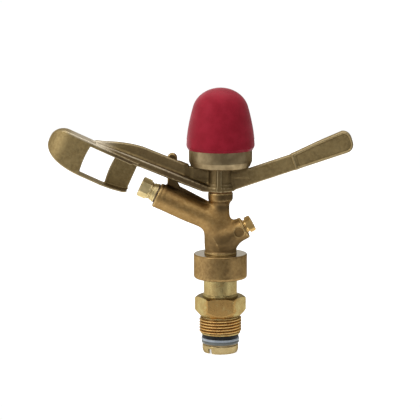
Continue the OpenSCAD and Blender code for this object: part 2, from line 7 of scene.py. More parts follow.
import bpy
import numpy as np
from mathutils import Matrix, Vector

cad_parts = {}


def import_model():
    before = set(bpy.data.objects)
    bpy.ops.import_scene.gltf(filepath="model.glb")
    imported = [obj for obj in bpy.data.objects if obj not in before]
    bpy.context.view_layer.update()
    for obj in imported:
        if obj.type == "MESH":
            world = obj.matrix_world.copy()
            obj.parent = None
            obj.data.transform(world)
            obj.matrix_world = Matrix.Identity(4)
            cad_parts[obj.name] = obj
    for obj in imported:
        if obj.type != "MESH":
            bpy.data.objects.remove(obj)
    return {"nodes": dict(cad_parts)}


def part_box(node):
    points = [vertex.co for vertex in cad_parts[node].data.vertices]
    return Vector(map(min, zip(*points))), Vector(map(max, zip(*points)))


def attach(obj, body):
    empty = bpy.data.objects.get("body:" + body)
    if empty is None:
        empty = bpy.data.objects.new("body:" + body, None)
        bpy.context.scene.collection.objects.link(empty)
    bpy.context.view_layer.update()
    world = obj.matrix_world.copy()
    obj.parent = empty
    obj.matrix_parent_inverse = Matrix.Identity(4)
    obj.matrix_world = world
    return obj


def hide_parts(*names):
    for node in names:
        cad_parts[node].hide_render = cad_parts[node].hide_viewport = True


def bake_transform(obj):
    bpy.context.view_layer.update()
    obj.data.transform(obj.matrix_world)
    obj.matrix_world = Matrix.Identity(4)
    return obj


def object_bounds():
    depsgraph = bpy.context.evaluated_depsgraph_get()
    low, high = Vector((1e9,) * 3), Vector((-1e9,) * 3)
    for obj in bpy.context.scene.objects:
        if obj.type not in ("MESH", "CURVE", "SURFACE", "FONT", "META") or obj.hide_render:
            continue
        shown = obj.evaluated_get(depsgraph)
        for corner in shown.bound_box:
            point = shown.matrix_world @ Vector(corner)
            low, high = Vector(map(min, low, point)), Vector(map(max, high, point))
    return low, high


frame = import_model()
cad_low, cad_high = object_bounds()

MM = 0.001
SHARP = 40
LATHE_STEPS, LATHE_GAP, ROUND_STEPS = 192, 0.15, 6
AROUND = np.linspace(0, 2 * np.pi, LATHE_STEPS, endpoint=False)
CAST_STEP, CAST_MARGIN, FLANGE_STEP = 0.45, 1.0, 0.3
BULGE_REACH = 0.7


def span(node):
    """Lowest and highest corner of a CAD node, in millimetres."""
    low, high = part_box(node)
    return np.array(low) / MM, np.array(high) / MM


# ---------------------------------------------------------------- meshes

def paint(item, material):
    """Gives a piece or a CAD node one material."""
    item.data.materials.clear()
    item.data.materials.append(material)


def build(name, points, faces, node, body, material, sharp):
    """Makes a piece that stands for a CAD node, from points in millimetres and faces that look outwards.
    It rides on a body, or with None for body it is left free, for a blend between two. An edge that turns
    by more than sharp degrees stays crisp, and with None for sharp every edge is smooth."""
    mesh = bpy.data.meshes.new(name)
    mesh.from_pydata((points * MM).tolist(), [], faces)
    mesh.validate()
    mesh.shade_smooth()
    if sharp:
        mesh.set_sharp_from_angle(angle=np.radians(sharp))
    piece = bpy.data.objects.new(name, mesh)
    bpy.context.scene.collection.objects.link(piece)
    if body:
        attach(piece, body)
    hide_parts(node)
    paint(piece, material)
    return piece


def rounded(corners):
    """Profile through (radius, height, rounding) corners.

    Each corner with a rounding d becomes the curve (1-t)^2 A + 2t(1-t) C + t^2 B, where C is the corner and
    A and B lie d before and after it; where there is room, a support point just outside A and B keeps the
    flats flat.
    """
    support, room = 0.25, 2.6
    path = []
    t = np.linspace(0, 1, ROUND_STEPS)[:, None]
    for i, (r, z, d) in enumerate(corners):
        corner = np.array([r, z], float)
        if d == 0 or i in (0, len(corners) - 1):
            path.append(corner[None])
            continue
        back = np.array(corners[i - 1][:2], float) - corner
        ahead = np.array(corners[i + 1][:2], float) - corner
        back_u = back / np.linalg.norm(back)
        ahead_u = ahead / np.linalg.norm(ahead)
        start, end = corner + d * back_u, corner + d * ahead_u
        curve = (1 - t) ** 2 * start + 2 * t * (1 - t) * corner + t ** 2 * end
        if np.linalg.norm(back) > room * d:
            curve = np.vstack([start + support * d * back_u, curve])
        if np.linalg.norm(ahead) > room * d:
            curve = np.vstack([curve, end + support * d * ahead_u])
        path.append(curve)
    return np.vstack(path)


def rings(r, z, a):
    """Rows of points (r cos a, r sin a, z)."""
    return np.stack([r * np.cos(a), r * np.sin(a), z + 0 * a], axis=2)


def turn(profile):
    """A ring for each profile point (radius, height)."""
    return rings(profile[:, :1], profile[:, 1:2], AROUND)


def hexed(corners, af, turn_by, start):
    """Rows for a bar that is hexagonal from a height up: there each point's radius is the smaller of the
    profile's and the hexagon's half width / cos(angle from the middle of its flat). Rows are added where the
    radius changes, so that a cone meets the flats in its curves."""
    profile = rounded(corners)
    parts = [np.linspace(p, q, max(int(abs(q[0] - p[0]) / LATHE_GAP), 1), endpoint=False)
             for p, q in zip(profile, profile[1:])]
    r, z = np.hsplit(np.vstack(parts + [profile[-1:]]), 2)
    flat = (af / 2) / np.cos((AROUND + np.pi / 6) % (np.pi / 3) - np.pi / 6)
    return rings(np.where(z < start, r, np.minimum(r, flat)), z, AROUND + np.radians(turn_by))


def threaded(crest, low, high, pitch, tooth, bore):
    """Rows of a threaded shank with a bore. The radius is crest - tooth * V, where V is the distance of
    z / pitch - a / 2 pi from its nearest whole number, doubled, with its peaks and valleys cut flat; a cone
    at 45 degrees takes off the first thread, and a steeper one leads down to the root at the top."""
    rows_per_turn, crest_flat, flank, lead_in, run_out = 16, 0.24, 0.64, 0.7, 2
    z = np.append(np.arange(low, high, pitch / rows_per_turn), high)[:, None]
    wave = np.abs(2 * ((z / pitch - AROUND / (2 * np.pi)) % 1) - 1)
    r = crest - tooth * np.clip((wave - crest_flat) / flank, 0, 1)
    r = np.minimum(r, crest - lead_in + (z - low))
    r = np.minimum(r, crest - tooth + run_out * (high - z))
    wall = np.full((1, LATHE_STEPS), bore)
    return rings(np.vstack([wall, r, wall]), np.vstack([[[low]], z, [[high]]]), AROUND)


def skin_rows(rows, loop=False):
    """Points and faces of a stack of closed rings; a ring drawn together on the axis becomes one point,
    and loop joins the last ring to the first."""
    nothing = 1e-6
    count, steps = rows.shape[:2]
    width = np.ptp(rows, axis=1).max(axis=1)
    start = 0
    index = np.zeros((count, steps), int)
    points = []
    for i in range(count):
        if width[i] < nothing:
            points.append(rows[i, :1])
            index[i] = start
            start += 1
        else:
            points.append(rows[i])
            index[i] = start + np.arange(steps)
            start += steps
    low = index if loop else index[:-1]
    high = np.roll(index, -1, axis=0) if loop else index[1:]
    quads = np.stack([low, np.roll(low, -1, axis=1), np.roll(high, -1, axis=1), high], axis=2).reshape(-1, 4)
    point_low = quads[:, 0] == quads[:, 1]
    point_high = quads[:, 2] == quads[:, 3]
    faces = quads[~point_low & ~point_high].tolist()
    faces += quads[point_low & ~point_high][:, [0, 2, 3]].tolist()
    faces += quads[point_high & ~point_low][:, [0, 1, 2]].tolist()
    return np.vstack(points), faces


def net(field, low, high, step):
    """Points and faces of the surface where field(x, y, z) is 0.

    The field is sampled on a grid, only in blocks that the surface can reach. Each cell that the surface
    crosses gets one point, the mean of its edge crossings, and each crossed grid edge a face through its four
    cells. The points then move onto the surface along the gradient: p - f grad f / |grad f|^2.
    """
    block, reach, far = 4, 4.6 * step, 9.0
    passes, probe, least_slope, longest_move = 3, 0.02, 0.04, 0.6 * step
    low, high = np.array(low, float), np.array(high, float)
    blocks = np.ceil((high - low) / step / block).astype(int)
    centres = [low[i] + step * (block * np.arange(blocks[i]) + (block - 1) / 2) for i in range(3)]
    centre = field(*np.meshgrid(*centres, indexing="ij"))
    value = np.where(centre < 0, -far, far)
    near = np.abs(centre) < reach
    for axis in range(3):
        value = np.repeat(value, block, axis=axis)
        near = np.repeat(near, block, axis=axis)
    spots = np.nonzero(near)
    value[spots] = field(*[low[i] + step * spots[i] for i in range(3)])
    inside = value < 0
    cells = tuple(n - 1 for n in value.shape)
    corners = [(i, j, k) for i in (0, 1) for j in (0, 1) for k in (0, 1)]

    def corner(grid, c):
        return grid[c[0]:c[0] + cells[0], c[1]:c[1] + cells[1], c[2]:c[2] + cells[2]]

    filled = sum(corner(inside, c).astype(np.int8) for c in corners)
    where = np.nonzero((filled > 0) & (filled < len(corners)))
    index = np.full(cells, -1)
    index[where] = np.arange(len(where[0]))
    total = np.zeros((len(where[0]), 3))
    hits = np.zeros(len(where[0]))
    for a in corners:
        for axis in range(3):
            if a[axis]:
                continue
            b = tuple(1 if i == axis else a[i] for i in range(3))
            fa = value[where[0] + a[0], where[1] + a[1], where[2] + a[2]]
            fb = value[where[0] + b[0], where[1] + b[1], where[2] + b[2]]
            crossed = (fa < 0) != (fb < 0)
            t = np.where(crossed, fa / np.where(crossed, fa - fb, 1), 0)
            place = np.array(a, float)[None] + t[:, None] * (np.array(b) - np.array(a))[None]
            total += np.where(crossed[:, None], place, 0)
            hits += crossed
    points = low + step * (np.stack(where, axis=1) + total / hits[:, None])

    def slope(p):
        rise = [field(*(p + shift).T) - field(*(p - shift).T) for shift in probe * np.eye(3)]
        return np.stack(rise, axis=1) / (2 * probe)

    for _ in range(passes):
        f, g = field(*points.T), slope(points)
        move = -(f / np.maximum((g * g).sum(axis=1), least_slope))[:, None] * g
        length = np.linalg.norm(move, axis=1, keepdims=True)
        points = points + move * np.minimum(1, longest_move / np.maximum(length, 1e-9))

    faces = []
    for axis in range(3):
        u, v = (axis + 1) % 3, (axis + 2) % 3
        first = [slice(None)] * 3
        last = [slice(None)] * 3
        first[axis], last[axis] = slice(None, -1), slice(1, None)
        a, b = inside[tuple(first)], inside[tuple(last)]
        crossed = np.stack(np.nonzero(a != b), axis=1)
        ok = (crossed[:, u] > 0) & (crossed[:, v] > 0)
        ok &= (crossed[:, u] < cells[u]) & (crossed[:, v] < cells[v])
        crossed = crossed[ok]
        out = a[tuple(crossed.T)]
        ring = []
        for du, dv in ((-1, -1), (0, -1), (0, 0), (-1, 0)):
            c = crossed.copy()
            c[:, u] += du
            c[:, v] += dv
            ring.append(index[tuple(c.T)])
        quad = np.stack(ring, axis=1)
        quad[~out] = quad[~out][:, ::-1]
        faces.append(quad)
    return points, np.vstack(faces).tolist()


def keep(piece, name, values):
    """Stores one number on each point of a piece."""
    layer = piece.data.attributes.new(name, "FLOAT", "POINT")
    layer.data.foreach_set("value", values.astype(np.float32))


def wear(piece, field, points):
    """Stores on each point how far the surface bulges there, positive on edges and negative in corners: the
    field a small reach away on six sides, summed, less six times the field, over the reach squared."""
    total = -6 * field(*points.T)
    for shift in BULGE_REACH * np.eye(3):
        total = total + field(*(points - shift).T) + field(*(points + shift).T)
    keep(piece, "bulge", total / BULGE_REACH ** 2)


# ---------------------------------------------------------------- distances

def soft_min(a, b, k):
    """The smaller of two distances, blended where they differ by less than k, which makes a fillet: their
    mix by h, less k h (1 - h), with h going from 0 to 1 while b - a goes from -k to k."""
    h = np.clip(0.5 + 0.5 * (b - a) / k, 0, 1)
    return b + (a - b) * h - k * h * (1 - h)


def soft_max(a, b, k):
    """The larger of two distances, blended where they differ by less than k, which rounds an edge: their
    mix by h, plus k h (1 - h), with h going from 0 to 1 while a - b goes from -k to k."""
    h = np.clip(0.5 + 0.5 * (a - b) / k, 0, 1)
    return b + (a - b) * h + k * h * (1 - h)


def outline(u, v, corners):
    """Distance to a closed outline: that of the nearest edge, negative inside by the even-odd rule."""
    corners = np.array(corners, float)
    best = np.full(u.shape, 1e9)
    odd = np.zeros(u.shape, bool)
    for p, q in zip(corners, np.roll(corners, -1, axis=0)):
        e = q - p
        wu, wv = u - p[0], v - p[1]
        t = np.clip((wu * e[0] + wv * e[1]) / (e @ e), 0, 1)
        best = np.minimum(best, (wu - t * e[0]) ** 2 + (wv - t * e[1]) ** 2)
        if p[1] != q[1]:
            crosses = (p[1] > v) != (q[1] > v)
            odd ^= crosses & (u < p[0] + (v - p[1]) * e[0] / e[1])
    return np.where(odd, -1, 1) * np.sqrt(best)


def tilted(x, z, z0, degrees):
    """Distance along a line that passes the axis at height z0 and falls towards +X, and height over it."""
    t = np.radians(degrees)
    return x * np.cos(t) - (z - z0) * np.sin(t), x * np.sin(t) + (z - z0) * np.cos(t)


def ease(v, low, high):
    """Rises smoothly from 0 to 1 while v goes from low to high: 3t^2 - 2t^3."""
    t = np.clip((v - low) / (high - low), 0, 1)
    return t * t * (3 - 2 * t)


def arc(cx, cy, rx, ry, start, end, steps):
    """Points (cx + rx cos a, cy + ry sin a) of an ellipse, a going from one angle to the other."""
    a = np.radians(np.linspace(start, end, steps))
    return np.stack([cx + rx * np.cos(a), cy + ry * np.sin(a)], axis=1)


# ---------------------------------------------------------------- inlet

# G 3/4 thread, the turned nose and shank before it, and the relief, hexagon, flare and neck above it
THREAD_R, PITCH, TOOTH = 13.22, 1.814, 1.16
THREAD_LOW, THREAD_TOP = 1.1, 10.8
NOSE_R, SHOULDER_R, SHANK_R = 10.9, 11.8, 12.35
SHOULDER_Z, SHANK_Z = -0.05, 0.4
RELIEF_R, HEX_AF, HEX_Z, HEX_TOP = 12.0, 27.7, 11.3, 24.0
HEX_FOOT_CONE, HEX_TOP_CONE, HEX_TOP_CUT = 4.0, 1.1, 1.9
FLARE_R, FLARE_H, NECK_R, NECK_FOOT, NECK_EDGE = 11.1, 0.9, 10.4, 1.5, 0.6

# Stem tube, and the bore that it passes through; its flange, with the driving slot's heading in degrees
TUBE_R, TUBE_BORE_R, TUBE_WAY_R = 8.0, 6.3, 8.05
TUBE_TOP = span("stem_tube")[1][2]
FLANGE_LOW = span("stem_tube")[0][2]
FLANGE_TOP = span("backing_washer")[0][2]
FLANGE_R, FLANGE_MOUTH_R, FLANGE_MOUTH = 11.25, 9.3, 3.2
FLANGE_SIDE = [[0, FLANGE_LOW], [FLANGE_R - 0.8, FLANGE_LOW], [FLANGE_R - 0.15, FLANGE_LOW + 1.4],
               [FLANGE_R, FLANGE_LOW + 2.2], [FLANGE_R, FLANGE_TOP - 0.4], [FLANGE_R - 0.4, FLANGE_TOP],
               [0, FLANGE_TOP]]
FLANGE_REACH = [12, 12, 1]
SLOT_HEADING, SLOT_HALF = 233, 1.15

# Washers, hood and bearing spring; the spring's ends lie flat over a share of a turn
WASHER_BORE_R = 8.1
RUBBER_STEP_R, RUBBER_STEP_Z = 11, -0.1
NYLON_GROWN, NYLON_SPLIT, NYLON_GROOVE = 0.2, -4.1, 0.7
HOOD_GROWN, HOOD_WALL, HOOD_ROOF = 0.3, 1.8, 2
SPRING_WIRE_R, SPRING_TURNS, SPRING_CLOSED = 1.0, 3.25, 0.6


# ---------------------------------------------------------------- body casting

BODY_LOW, BODY_HIGH = span("sprinkler_body")
BODY_Z = BODY_LOW[2]

# Stem and pipe: the pipe's middle line is upright, bends round (ELBOW_X - ELBOW_R, ELBOW_Z) and runs out
# along the barrel's axis, which passes the turning axis at BARREL_Z
STEM_R, STEM_X, STEM_RISE = 9.3, 0.3, 13.5
LIP_R, LIP_RISE = 10.1, 1.5
PIPE_R, PIPE_RISE = 7.5, 3
BARREL_Z, BARREL_TILT, BARREL_LEN = 69.8, 25, 43.5
BARREL_SAG, BARREL_SWELL, BARREL_RIM = 0.3, 0.7, 0.15
GROOVE_DEPTH, GROOVE_IN, GROOVE_HALF = 0.14, 2.3, 0.45
NOZZLE_Z = BARREL_Z + 0.5
ELBOW_R = 15.5
ELBOW_X = PIPE_R - STEM_R
ELBOW_LEG = ELBOW_R * np.tan(np.radians((90 - BARREL_TILT) / 2))
ELBOW_Z = BARREL_Z - ELBOW_X * np.tan(np.radians(BARREL_TILT)) - ELBOW_LEG

# Rear boss, post with its collar, and the dimple on the boss's front
BOSS_Z, BOSS_TILT, BOSS_LEN = 59.4, -29, 17.3
BOSS_R, BOSS_SINK = 7.0, 0.35
SEAT_R, SEAT_DEPTH = 3.6, 6
POST_R, POST_FOOT, POST_HEAD = 5.6, 62, 87
POST_TOP = span("thrust_washer")[0][2]
COLLAR_R, COLLAR_H, COLLAR_SLOPE = 7.75, 4.6, 0.72
DIMPLE_X, DIMPLE_Z, DIMPLE_R, DIMPLE_DEPTH = 11.6, 65.2, 2.9, 0.75

# Anvil lug and its fin, drawn in the XZ plane
LUG_LEFT, LUG_RIGHT, LUG_FOOT = -33.0, -26.8, 84
LUG_TOP = BODY_HIGH[2]
LUG_FRONT, LUG_BACK = 2.6, 7.0
LUG_FLARE, LUG_FLARE_Z, LUG_FLARE_TURN = 4, 94.6, 62
FIN = [[LUG_RIGHT - 2, LUG_FOOT], [LUG_RIGHT - 2, 95], [LUG_RIGHT, 95], [LUG_RIGHT + 1.6, 92.3], [-5, 81.6],
       [-5, 76], [-20, 80]]


def pipe_field(x, y, z):
    """Distance to the pipe: a tube round a line that goes straight up, round the elbow and out along the
    barrel, which sags and swells a little past its root and has a groove and a raised rim at its end."""
    cx, cz = ELBOW_X - ELBOW_R, ELBOW_Z
    angle = np.degrees(np.arctan2(z - cz, x - cx))
    along, over = tilted(x, z, BARREL_Z, BARREL_TILT)
    bent = np.hypot(x - cx, z - cz) - ELBOW_R
    sag = BARREL_SAG * ease(-along, 10, 24)
    off = np.where(angle < 0, x - ELBOW_X, np.where(angle < 90 - BARREL_TILT, bent, over + sag))
    behind_bend = (angle < -120) | (angle > 170)
    off = np.where(behind_bend, np.minimum(np.abs(x - ELBOW_X), np.abs(over)), off)
    groove = GROOVE_DEPTH * np.exp(-((along + BARREL_LEN - GROOVE_IN) / GROOVE_HALF) ** 2)
    rim = BARREL_RIM * ease(-along, BARREL_LEN - 5.5, BARREL_LEN - 3.5)
    pipe = np.hypot(off, y) - PIPE_R + groove - BARREL_SWELL * sag - rim
    pipe = soft_max(pipe, -along - BARREL_LEN, 1.0)
    return soft_max(pipe, BODY_Z + PIPE_RISE - z, 2)


def boss_field(x, y, z):
    """Distance to the rear boss, with the spot-facing seat of its nozzle."""
    out, up = tilted(x, z, BOSS_Z, BOSS_TILT)
    boss = soft_max(np.hypot(up + BOSS_SINK, y) - BOSS_R, out - BOSS_LEN, 1.2)
    boss = np.maximum(boss, -out)
    seat = np.maximum(np.hypot(up, y) - SEAT_R, BOSS_LEN - SEAT_DEPTH - out)
    return soft_max(boss, -seat, 0.4)


def lug_field(x, y, z):
    """Distance to the anvil lug: a round-topped finger with a flared foot, and the fin that carries it."""
    middle, top_r = (LUG_LEFT + LUG_RIGHT) / 2, (LUG_RIGHT - LUG_LEFT) / 2
    flare_x = LUG_LEFT - LUG_FLARE
    finger = np.vstack([[[LUG_RIGHT, LUG_FOOT]], arc(middle, LUG_TOP - top_r, top_r, top_r, 0, 180, 12),
                        arc(flare_x, LUG_FLARE_Z, LUG_FLARE, LUG_FLARE, 0, -LUG_FLARE_TURN, 5),
                        [[flare_x, LUG_FOOT]]])
    lug = soft_min(outline(x, z, finger), outline(x, z, FIN), 1.2)
    return soft_max(lug, np.maximum(y - LUG_BACK, LUG_FRONT - y), 1.1)


def body_field(x, y, z):
    """Distance to the body casting: a stem, an elbow pipe, a post, a rear boss and the anvil lug, blended."""
    rho = np.hypot(x, y)
    stem = soft_max(np.hypot(x - STEM_X, y) - STEM_R, z - (BODY_Z + STEM_RISE), 4)
    lip = soft_max(rho - LIP_R, z - (BODY_Z + LIP_RISE), 0.9)
    post = soft_max(rho - POST_R, z - POST_HEAD, 1)
    post = np.maximum(post, POST_FOOT - z)
    collar = soft_max(rho - COLLAR_R, z - POST_TOP, 0.7)
    collar = soft_max(collar, (rho - COLLAR_R + (POST_TOP - COLLAR_H) - z) * COLLAR_SLOPE, 0.9)

    cast = stem
    for part, fillet in ((pipe_field(x, y, z), 3), (post, 6), (boss_field(x, y, z), 5), (collar, 1.4),
                         (lug_field(x, y, z), 2.4), (lip, 1.0)):
        cast = soft_min(cast, part, fillet)
    dimple = np.hypot(x - DIMPLE_X, z - DIMPLE_Z) - DIMPLE_R
    dimple = np.maximum(dimple, y + BOSS_R - DIMPLE_DEPTH)
    cast = soft_max(cast, -dimple, 0.5)
    return soft_max(cast, BODY_Z - z, 0.5)


def body_painted_shade(x, y, z):
    """Painted shade on the body casting: strong on the lug and its fin behind the arm, on the stem, more so
    to its right, and on the post under the arm; slight along the barrel's underside, and a little darker
    towards the barrel's end."""
    along, over = tilted(x, z, BARREL_Z, BARREL_TILT)
    lug = ease(over, PIPE_R - 1.8, PIPE_R + 0.4) * ease(-x, 8, 12)
    front = 0.22 * ease(-along, 26, 36)
    under = 0.3 * ease(-over, 0.5, 4.5) * ease(-x, 2, 8)
    stem = (1 - ease(z, 58, 72)) * (0.78 + 0.17 * ease(x, 0, 8))
    post = ease(z, 75, 81) * ease(x, -5.5, 0)
    return np.max([lug, front, under, stem, post], axis=0)


# ---------------------------------------------------------------- impact arm

# Cup, and the cap with the plug and the skirt that sit in it; what is cut clear for the cup and the post
CUP_LOW, CUP_HIGH = span("spring_cup")
CUP_Z, CUP_TOP, CUP_R = CUP_LOW[2], CUP_HIGH[2], CUP_HIGH[0]
CUP_BORE_R, CUP_FLOOR, CUP_WALL = 5.02, 2.6, 2
CAP_LOW, CAP_HIGH = span("spring_cap")
CAP_EDGE_R, CAP_EDGE_Z = CAP_HIGH[0], CUP_TOP + 0.8
CAP_WALL, CAP_DROP, CAP_RISE, CAP_POWER = 1.7, 4.2, 24.6, 1.7
CAP_SHELF, CAP_INSIDE_FOOT = 0.6, 2
PLUG_R, PLUG_WALL, SKIRT_R, SKIRT_H = CUP_R - 2.03, 1.5, CUP_R + 0.05, 1.2
CUP_CLEARANCE, POST_CLEARANCE_R = 0.2, 22

# Hub, its steps (radius, height, rounded edge, fillet), its rib, and the saddle under the cup
HUB_Z, HUB_R = 90.3, 7.2
HUB_STEPS = ((7.7, 4.9, 0.9, 0.8), (8.3, 2.8, 0.8, 0.9))
RIB_X, RIB_HALF, RIB_OUT = -0.8, 1.4, 1.1
SADDLE_R, SADDLE_Z, SADDLE_TOP, SADDLE_FRONT = 17.2, 99.0, 1, 0.5

# Web: its top drops along a curve beyond WEB_CURVE_AT, and its foot rises beyond WEB_KNEE. The flange is
# drawn along and over the web's own line, and the root, which reaches behind the hub, from above
WEB_Z, WEB_TILT = 86.0, 22.0
WEB_BACK, WEB_FOOT, WEB_HIGH, WEB_END = 2.5, -0.1, 11.6, -87
WEB_CURVE_AT, WEB_CURVE_LEN = -55, 33
WEB_CURVE, WEB_CURVE_POWER, WEB_SLOPE, WEB_SLOPE_POWER = 0.033, 1.6, 0.053, 0.6
WEB_KNEE, WEB_FOOT_SLOPE = -60, 0.098
WEB_THINS, WEB_FRONT = [-22.5, -19], [-2.0, -0.5]
WEB_FLANGE = [[0, WEB_FOOT], [0, 4.3], [-56, 4.3], [-84, 3.9], [-84, WEB_FOOT + 2.4], [-53, WEB_FOOT]]
WEB_FLANGE_FRONT = 5.5
ROOT_PLAN = [[-25.4, 0], [-25.4, 2.5], [-16, 12.6], [-12, 14.6], [-4, 6], [-4, 0]]
ROOT_HOLLOW_X, ROOT_HOLLOW_Y, ROOT_HOLLOW_R = -25.6, 12.1, 9.6

# Spoon, with its places along and heights over its own line: outline, rails, window and vane
SPOON_Z, SPOON_TILT = 69.8, 24.5
SPOON_MOUTH, SPOON_TIP = -61.4, -118.7
SPOON_LOW, SPOON_HIGH, SPOON_HALF = -8.2, 14.1, 7.0
SPOON_TIP_R, SPOON_BEND = 9.4, 13.0
SPOON_BELLY, SPOON_BELLY_V = -92.3, 3
SPOON_WALL, SPOON_RAIL, SPOON_TOP_RAIL, SPOON_MOUTH_RAIL = 1.8, 0.95, 2.8, 2.0
SPOON_OPEN = SPOON_MOUTH - 4
SPOON_FOOT, SPOON_FOOT_RISE = [-78, -71, SPOON_MOUTH - 2.6, SPOON_MOUTH], [0, 0.5, 1.6, 2.8]
WINDOW_FAR, WINDOW_NEAR = -93.0, -76.3
WINDOW_BOW, WINDOW_MIDDLE, WINDOW_HALF = 0.8, 3, 9.5
VANE, VANE_Y, VANE_HALF = [WINDOW_NEAR, -74, SPOON_MOUTH], [3.6, 4.5, 5.4], [0.8, 1.1, 1.0]

# Tail and paddle, along and over the tail's own line
TAIL_Z, TAIL_TILT = 88.75, -18.5
TAIL_LOW, TAIL_MIDDLE, TAIL_HALF, TAIL_STEP = -0.6, 4.95, 2.5, 49.1
PADDLE_END, PADDLE_R, PADDLE_HIGH = 82.6, 5.3, 9.5
PADDLE_CORNERS, PADDLE_SHOULDER, PADDLE_CROWN = (4.7, 7.9), 17, 2.1
PADDLE_PROUD, PADDLE_BORDER = 0.6, 1.3


def spoon_side():
    """Corners of the spoon's outline seen from the front: level top, round tip and long curved belly."""
    foot = [[a, SPOON_LOW + rise] for a, rise in zip(SPOON_FOOT[:-1], SPOON_FOOT_RISE)]
    return np.vstack([
        [[SPOON_MOUTH - 0.8, SPOON_LOW + 2.3], [SPOON_MOUTH, SPOON_LOW + 3.3], [SPOON_MOUTH, SPOON_HIGH]],
        arc(SPOON_TIP + SPOON_TIP_R, SPOON_HIGH - SPOON_TIP_R, SPOON_TIP_R, SPOON_TIP_R, 90, 180, 12),
        arc(SPOON_BELLY, SPOON_BELLY_V, SPOON_BELLY - SPOON_TIP, SPOON_BELLY_V - SPOON_LOW, 180, 270, 18)[1:],
        foot])


def tail_side(inset):
    """Corners of the paddle's outline seen from the front, shrunk by an inset."""
    low, end_r, high = TAIL_LOW + inset, PADDLE_R - inset, PADDLE_HIGH - inset
    lower, upper = PADDLE_CORNERS
    return np.vstack([[[TAIL_STEP + inset, low]], arc(PADDLE_END, lower, end_r, end_r, -90, 0, 8),
                      arc(PADDLE_END, upper, end_r, end_r, 0, 80, 8),
                      [[TAIL_STEP + PADDLE_SHOULDER, high + PADDLE_CROWN], [TAIL_STEP + inset, high]]])


def spoon_field(x, y, z):
    """Distance to the spoon: a hollow shell, rounded in plan from its front to its tip and open at the back
    and the mouth, with a window through it and a vane beyond the window."""
    a, v = tilted(x, z, SPOON_Z, SPOON_TILT)
    side = outline(a, v, spoon_side())
    rail = np.interp(v, [SPOON_LOW + 3, SPOON_HIGH - 4], [SPOON_RAIL, SPOON_TOP_RAIL])
    to_front = SPOON_BEND - (y + SPOON_HALF)
    to_tip = SPOON_BEND - (a - SPOON_TIP)
    bend = np.hypot(np.maximum(to_front, 0), np.maximum(to_tip, 0))
    bend = bend + np.minimum(np.maximum(to_front, to_tip), 0) - SPOON_BEND
    full = soft_max(soft_max(side, bend, 0.9), y - SPOON_HALF, 0.6)
    inner = soft_max(side + rail, bend + SPOON_WALL, 1.6)
    low_rail = SPOON_LOW + SPOON_RAIL + np.interp(a, SPOON_FOOT, SPOON_FOOT_RISE)
    open_end = np.maximum(v - (SPOON_HIGH - SPOON_MOUTH_RAIL), low_rail - v)
    at_mouth = a > SPOON_OPEN
    inner = np.where(at_mouth, np.maximum(open_end, bend + SPOON_WALL), inner)
    bow = WINDOW_BOW * np.clip(1 - ((v - WINDOW_MIDDLE) / WINDOW_HALF) ** 2, 0, 1)
    window = soft_max(np.where(at_mouth, open_end, side + rail), WINDOW_FAR - bow - a, 0.6)
    vane = np.abs(y - np.interp(a, VANE, VANE_Y)) - np.interp(a, VANE, VANE_HALF)
    vane = soft_max(vane, WINDOW_NEAR - bow - a, 0.9)
    vane = soft_max(vane, side + 0.4, 0.5)
    shell = soft_max(full, -inner, 0.5)
    shell = soft_max(shell, -window, 0.5)
    return soft_min(shell, vane, 1.4)


def tail_field(x, y, z):
    """Distance to the tail: a flat bar that steps up to a paddle with a sunk bare face on either side."""
    a, v = tilted(x, z, TAIL_Z, TAIL_TILT)
    bar = soft_max(np.abs(v - (TAIL_LOW + TAIL_MIDDLE)) - TAIL_MIDDLE, np.abs(y) - TAIL_HALF, 0.9)
    bar = np.maximum(bar, np.maximum(a - TAIL_STEP - 2, -a))
    paddle = soft_max(outline(a, v, tail_side(0)), np.abs(y) - TAIL_HALF - PADDLE_PROUD, 1.1)
    sunk = soft_max(outline(a, v, tail_side(PADDLE_BORDER)), TAIL_HALF - np.abs(y), 0.7)
    paddle = soft_max(paddle, -sunk, 0.6)
    return soft_min(bar, paddle, 0.8)


def web_field(x, y, z):
    """Distance to the web that carries the spoon and thins towards the hub, with its foot flange and the
    root that joins it to the hub from behind."""
    a, v = tilted(x, z, WEB_Z, WEB_TILT)
    ahead = np.clip(WEB_CURVE_AT - a, 0, WEB_CURVE_LEN)
    top = v - (WEB_HIGH - WEB_CURVE * ahead ** WEB_CURVE_POWER)
    top = top / np.sqrt(1 + (WEB_SLOPE * ahead ** WEB_SLOPE_POWER) ** 2)
    foot = WEB_FOOT + np.maximum(WEB_KNEE - a, 0) * WEB_FOOT_SLOPE - v
    side = soft_max(soft_max(top, foot, 0.6), a + 2, 0.4)
    side = np.maximum(side, WEB_END - a)
    front = np.interp(x, WEB_THINS, WEB_FRONT)
    web = soft_max(side, np.maximum(y - WEB_BACK, front - y), 0.9)
    flange = soft_max(outline(a, v, WEB_FLANGE), np.maximum(y - WEB_BACK, -WEB_FLANGE_FRONT - y), 1.3)
    web = soft_min(web, flange, 2.4)
    hollow = ROOT_HOLLOW_R - np.hypot(x - ROOT_HOLLOW_X, y - ROOT_HOLLOW_Y)
    plan = soft_max(outline(x, y, ROOT_PLAN), hollow, 0.5)
    root = soft_max(soft_max(side, plan, 1.2), HUB_Z - z, 0.8)
    return soft_min(web, root, 1.5)


def hub_field(x, y, z):
    """Distance to the hub: a boss with two steps at its foot and an upright rib on its front."""
    rho = np.hypot(x, y)
    hub = np.maximum(rho - HUB_R, HUB_Z - z)
    for step_r, step_h, edge, fillet in HUB_STEPS:
        step = soft_max(rho - step_r, np.maximum(z - HUB_Z - step_h, HUB_Z - z), edge)
        hub = soft_min(hub, step, fillet)
    rib = np.maximum(np.abs(x - RIB_X) - RIB_HALF, -y - HUB_R - RIB_OUT)
    return soft_min(hub, soft_max(rib, np.maximum(y, HUB_Z - z), 0.6), 1.0)


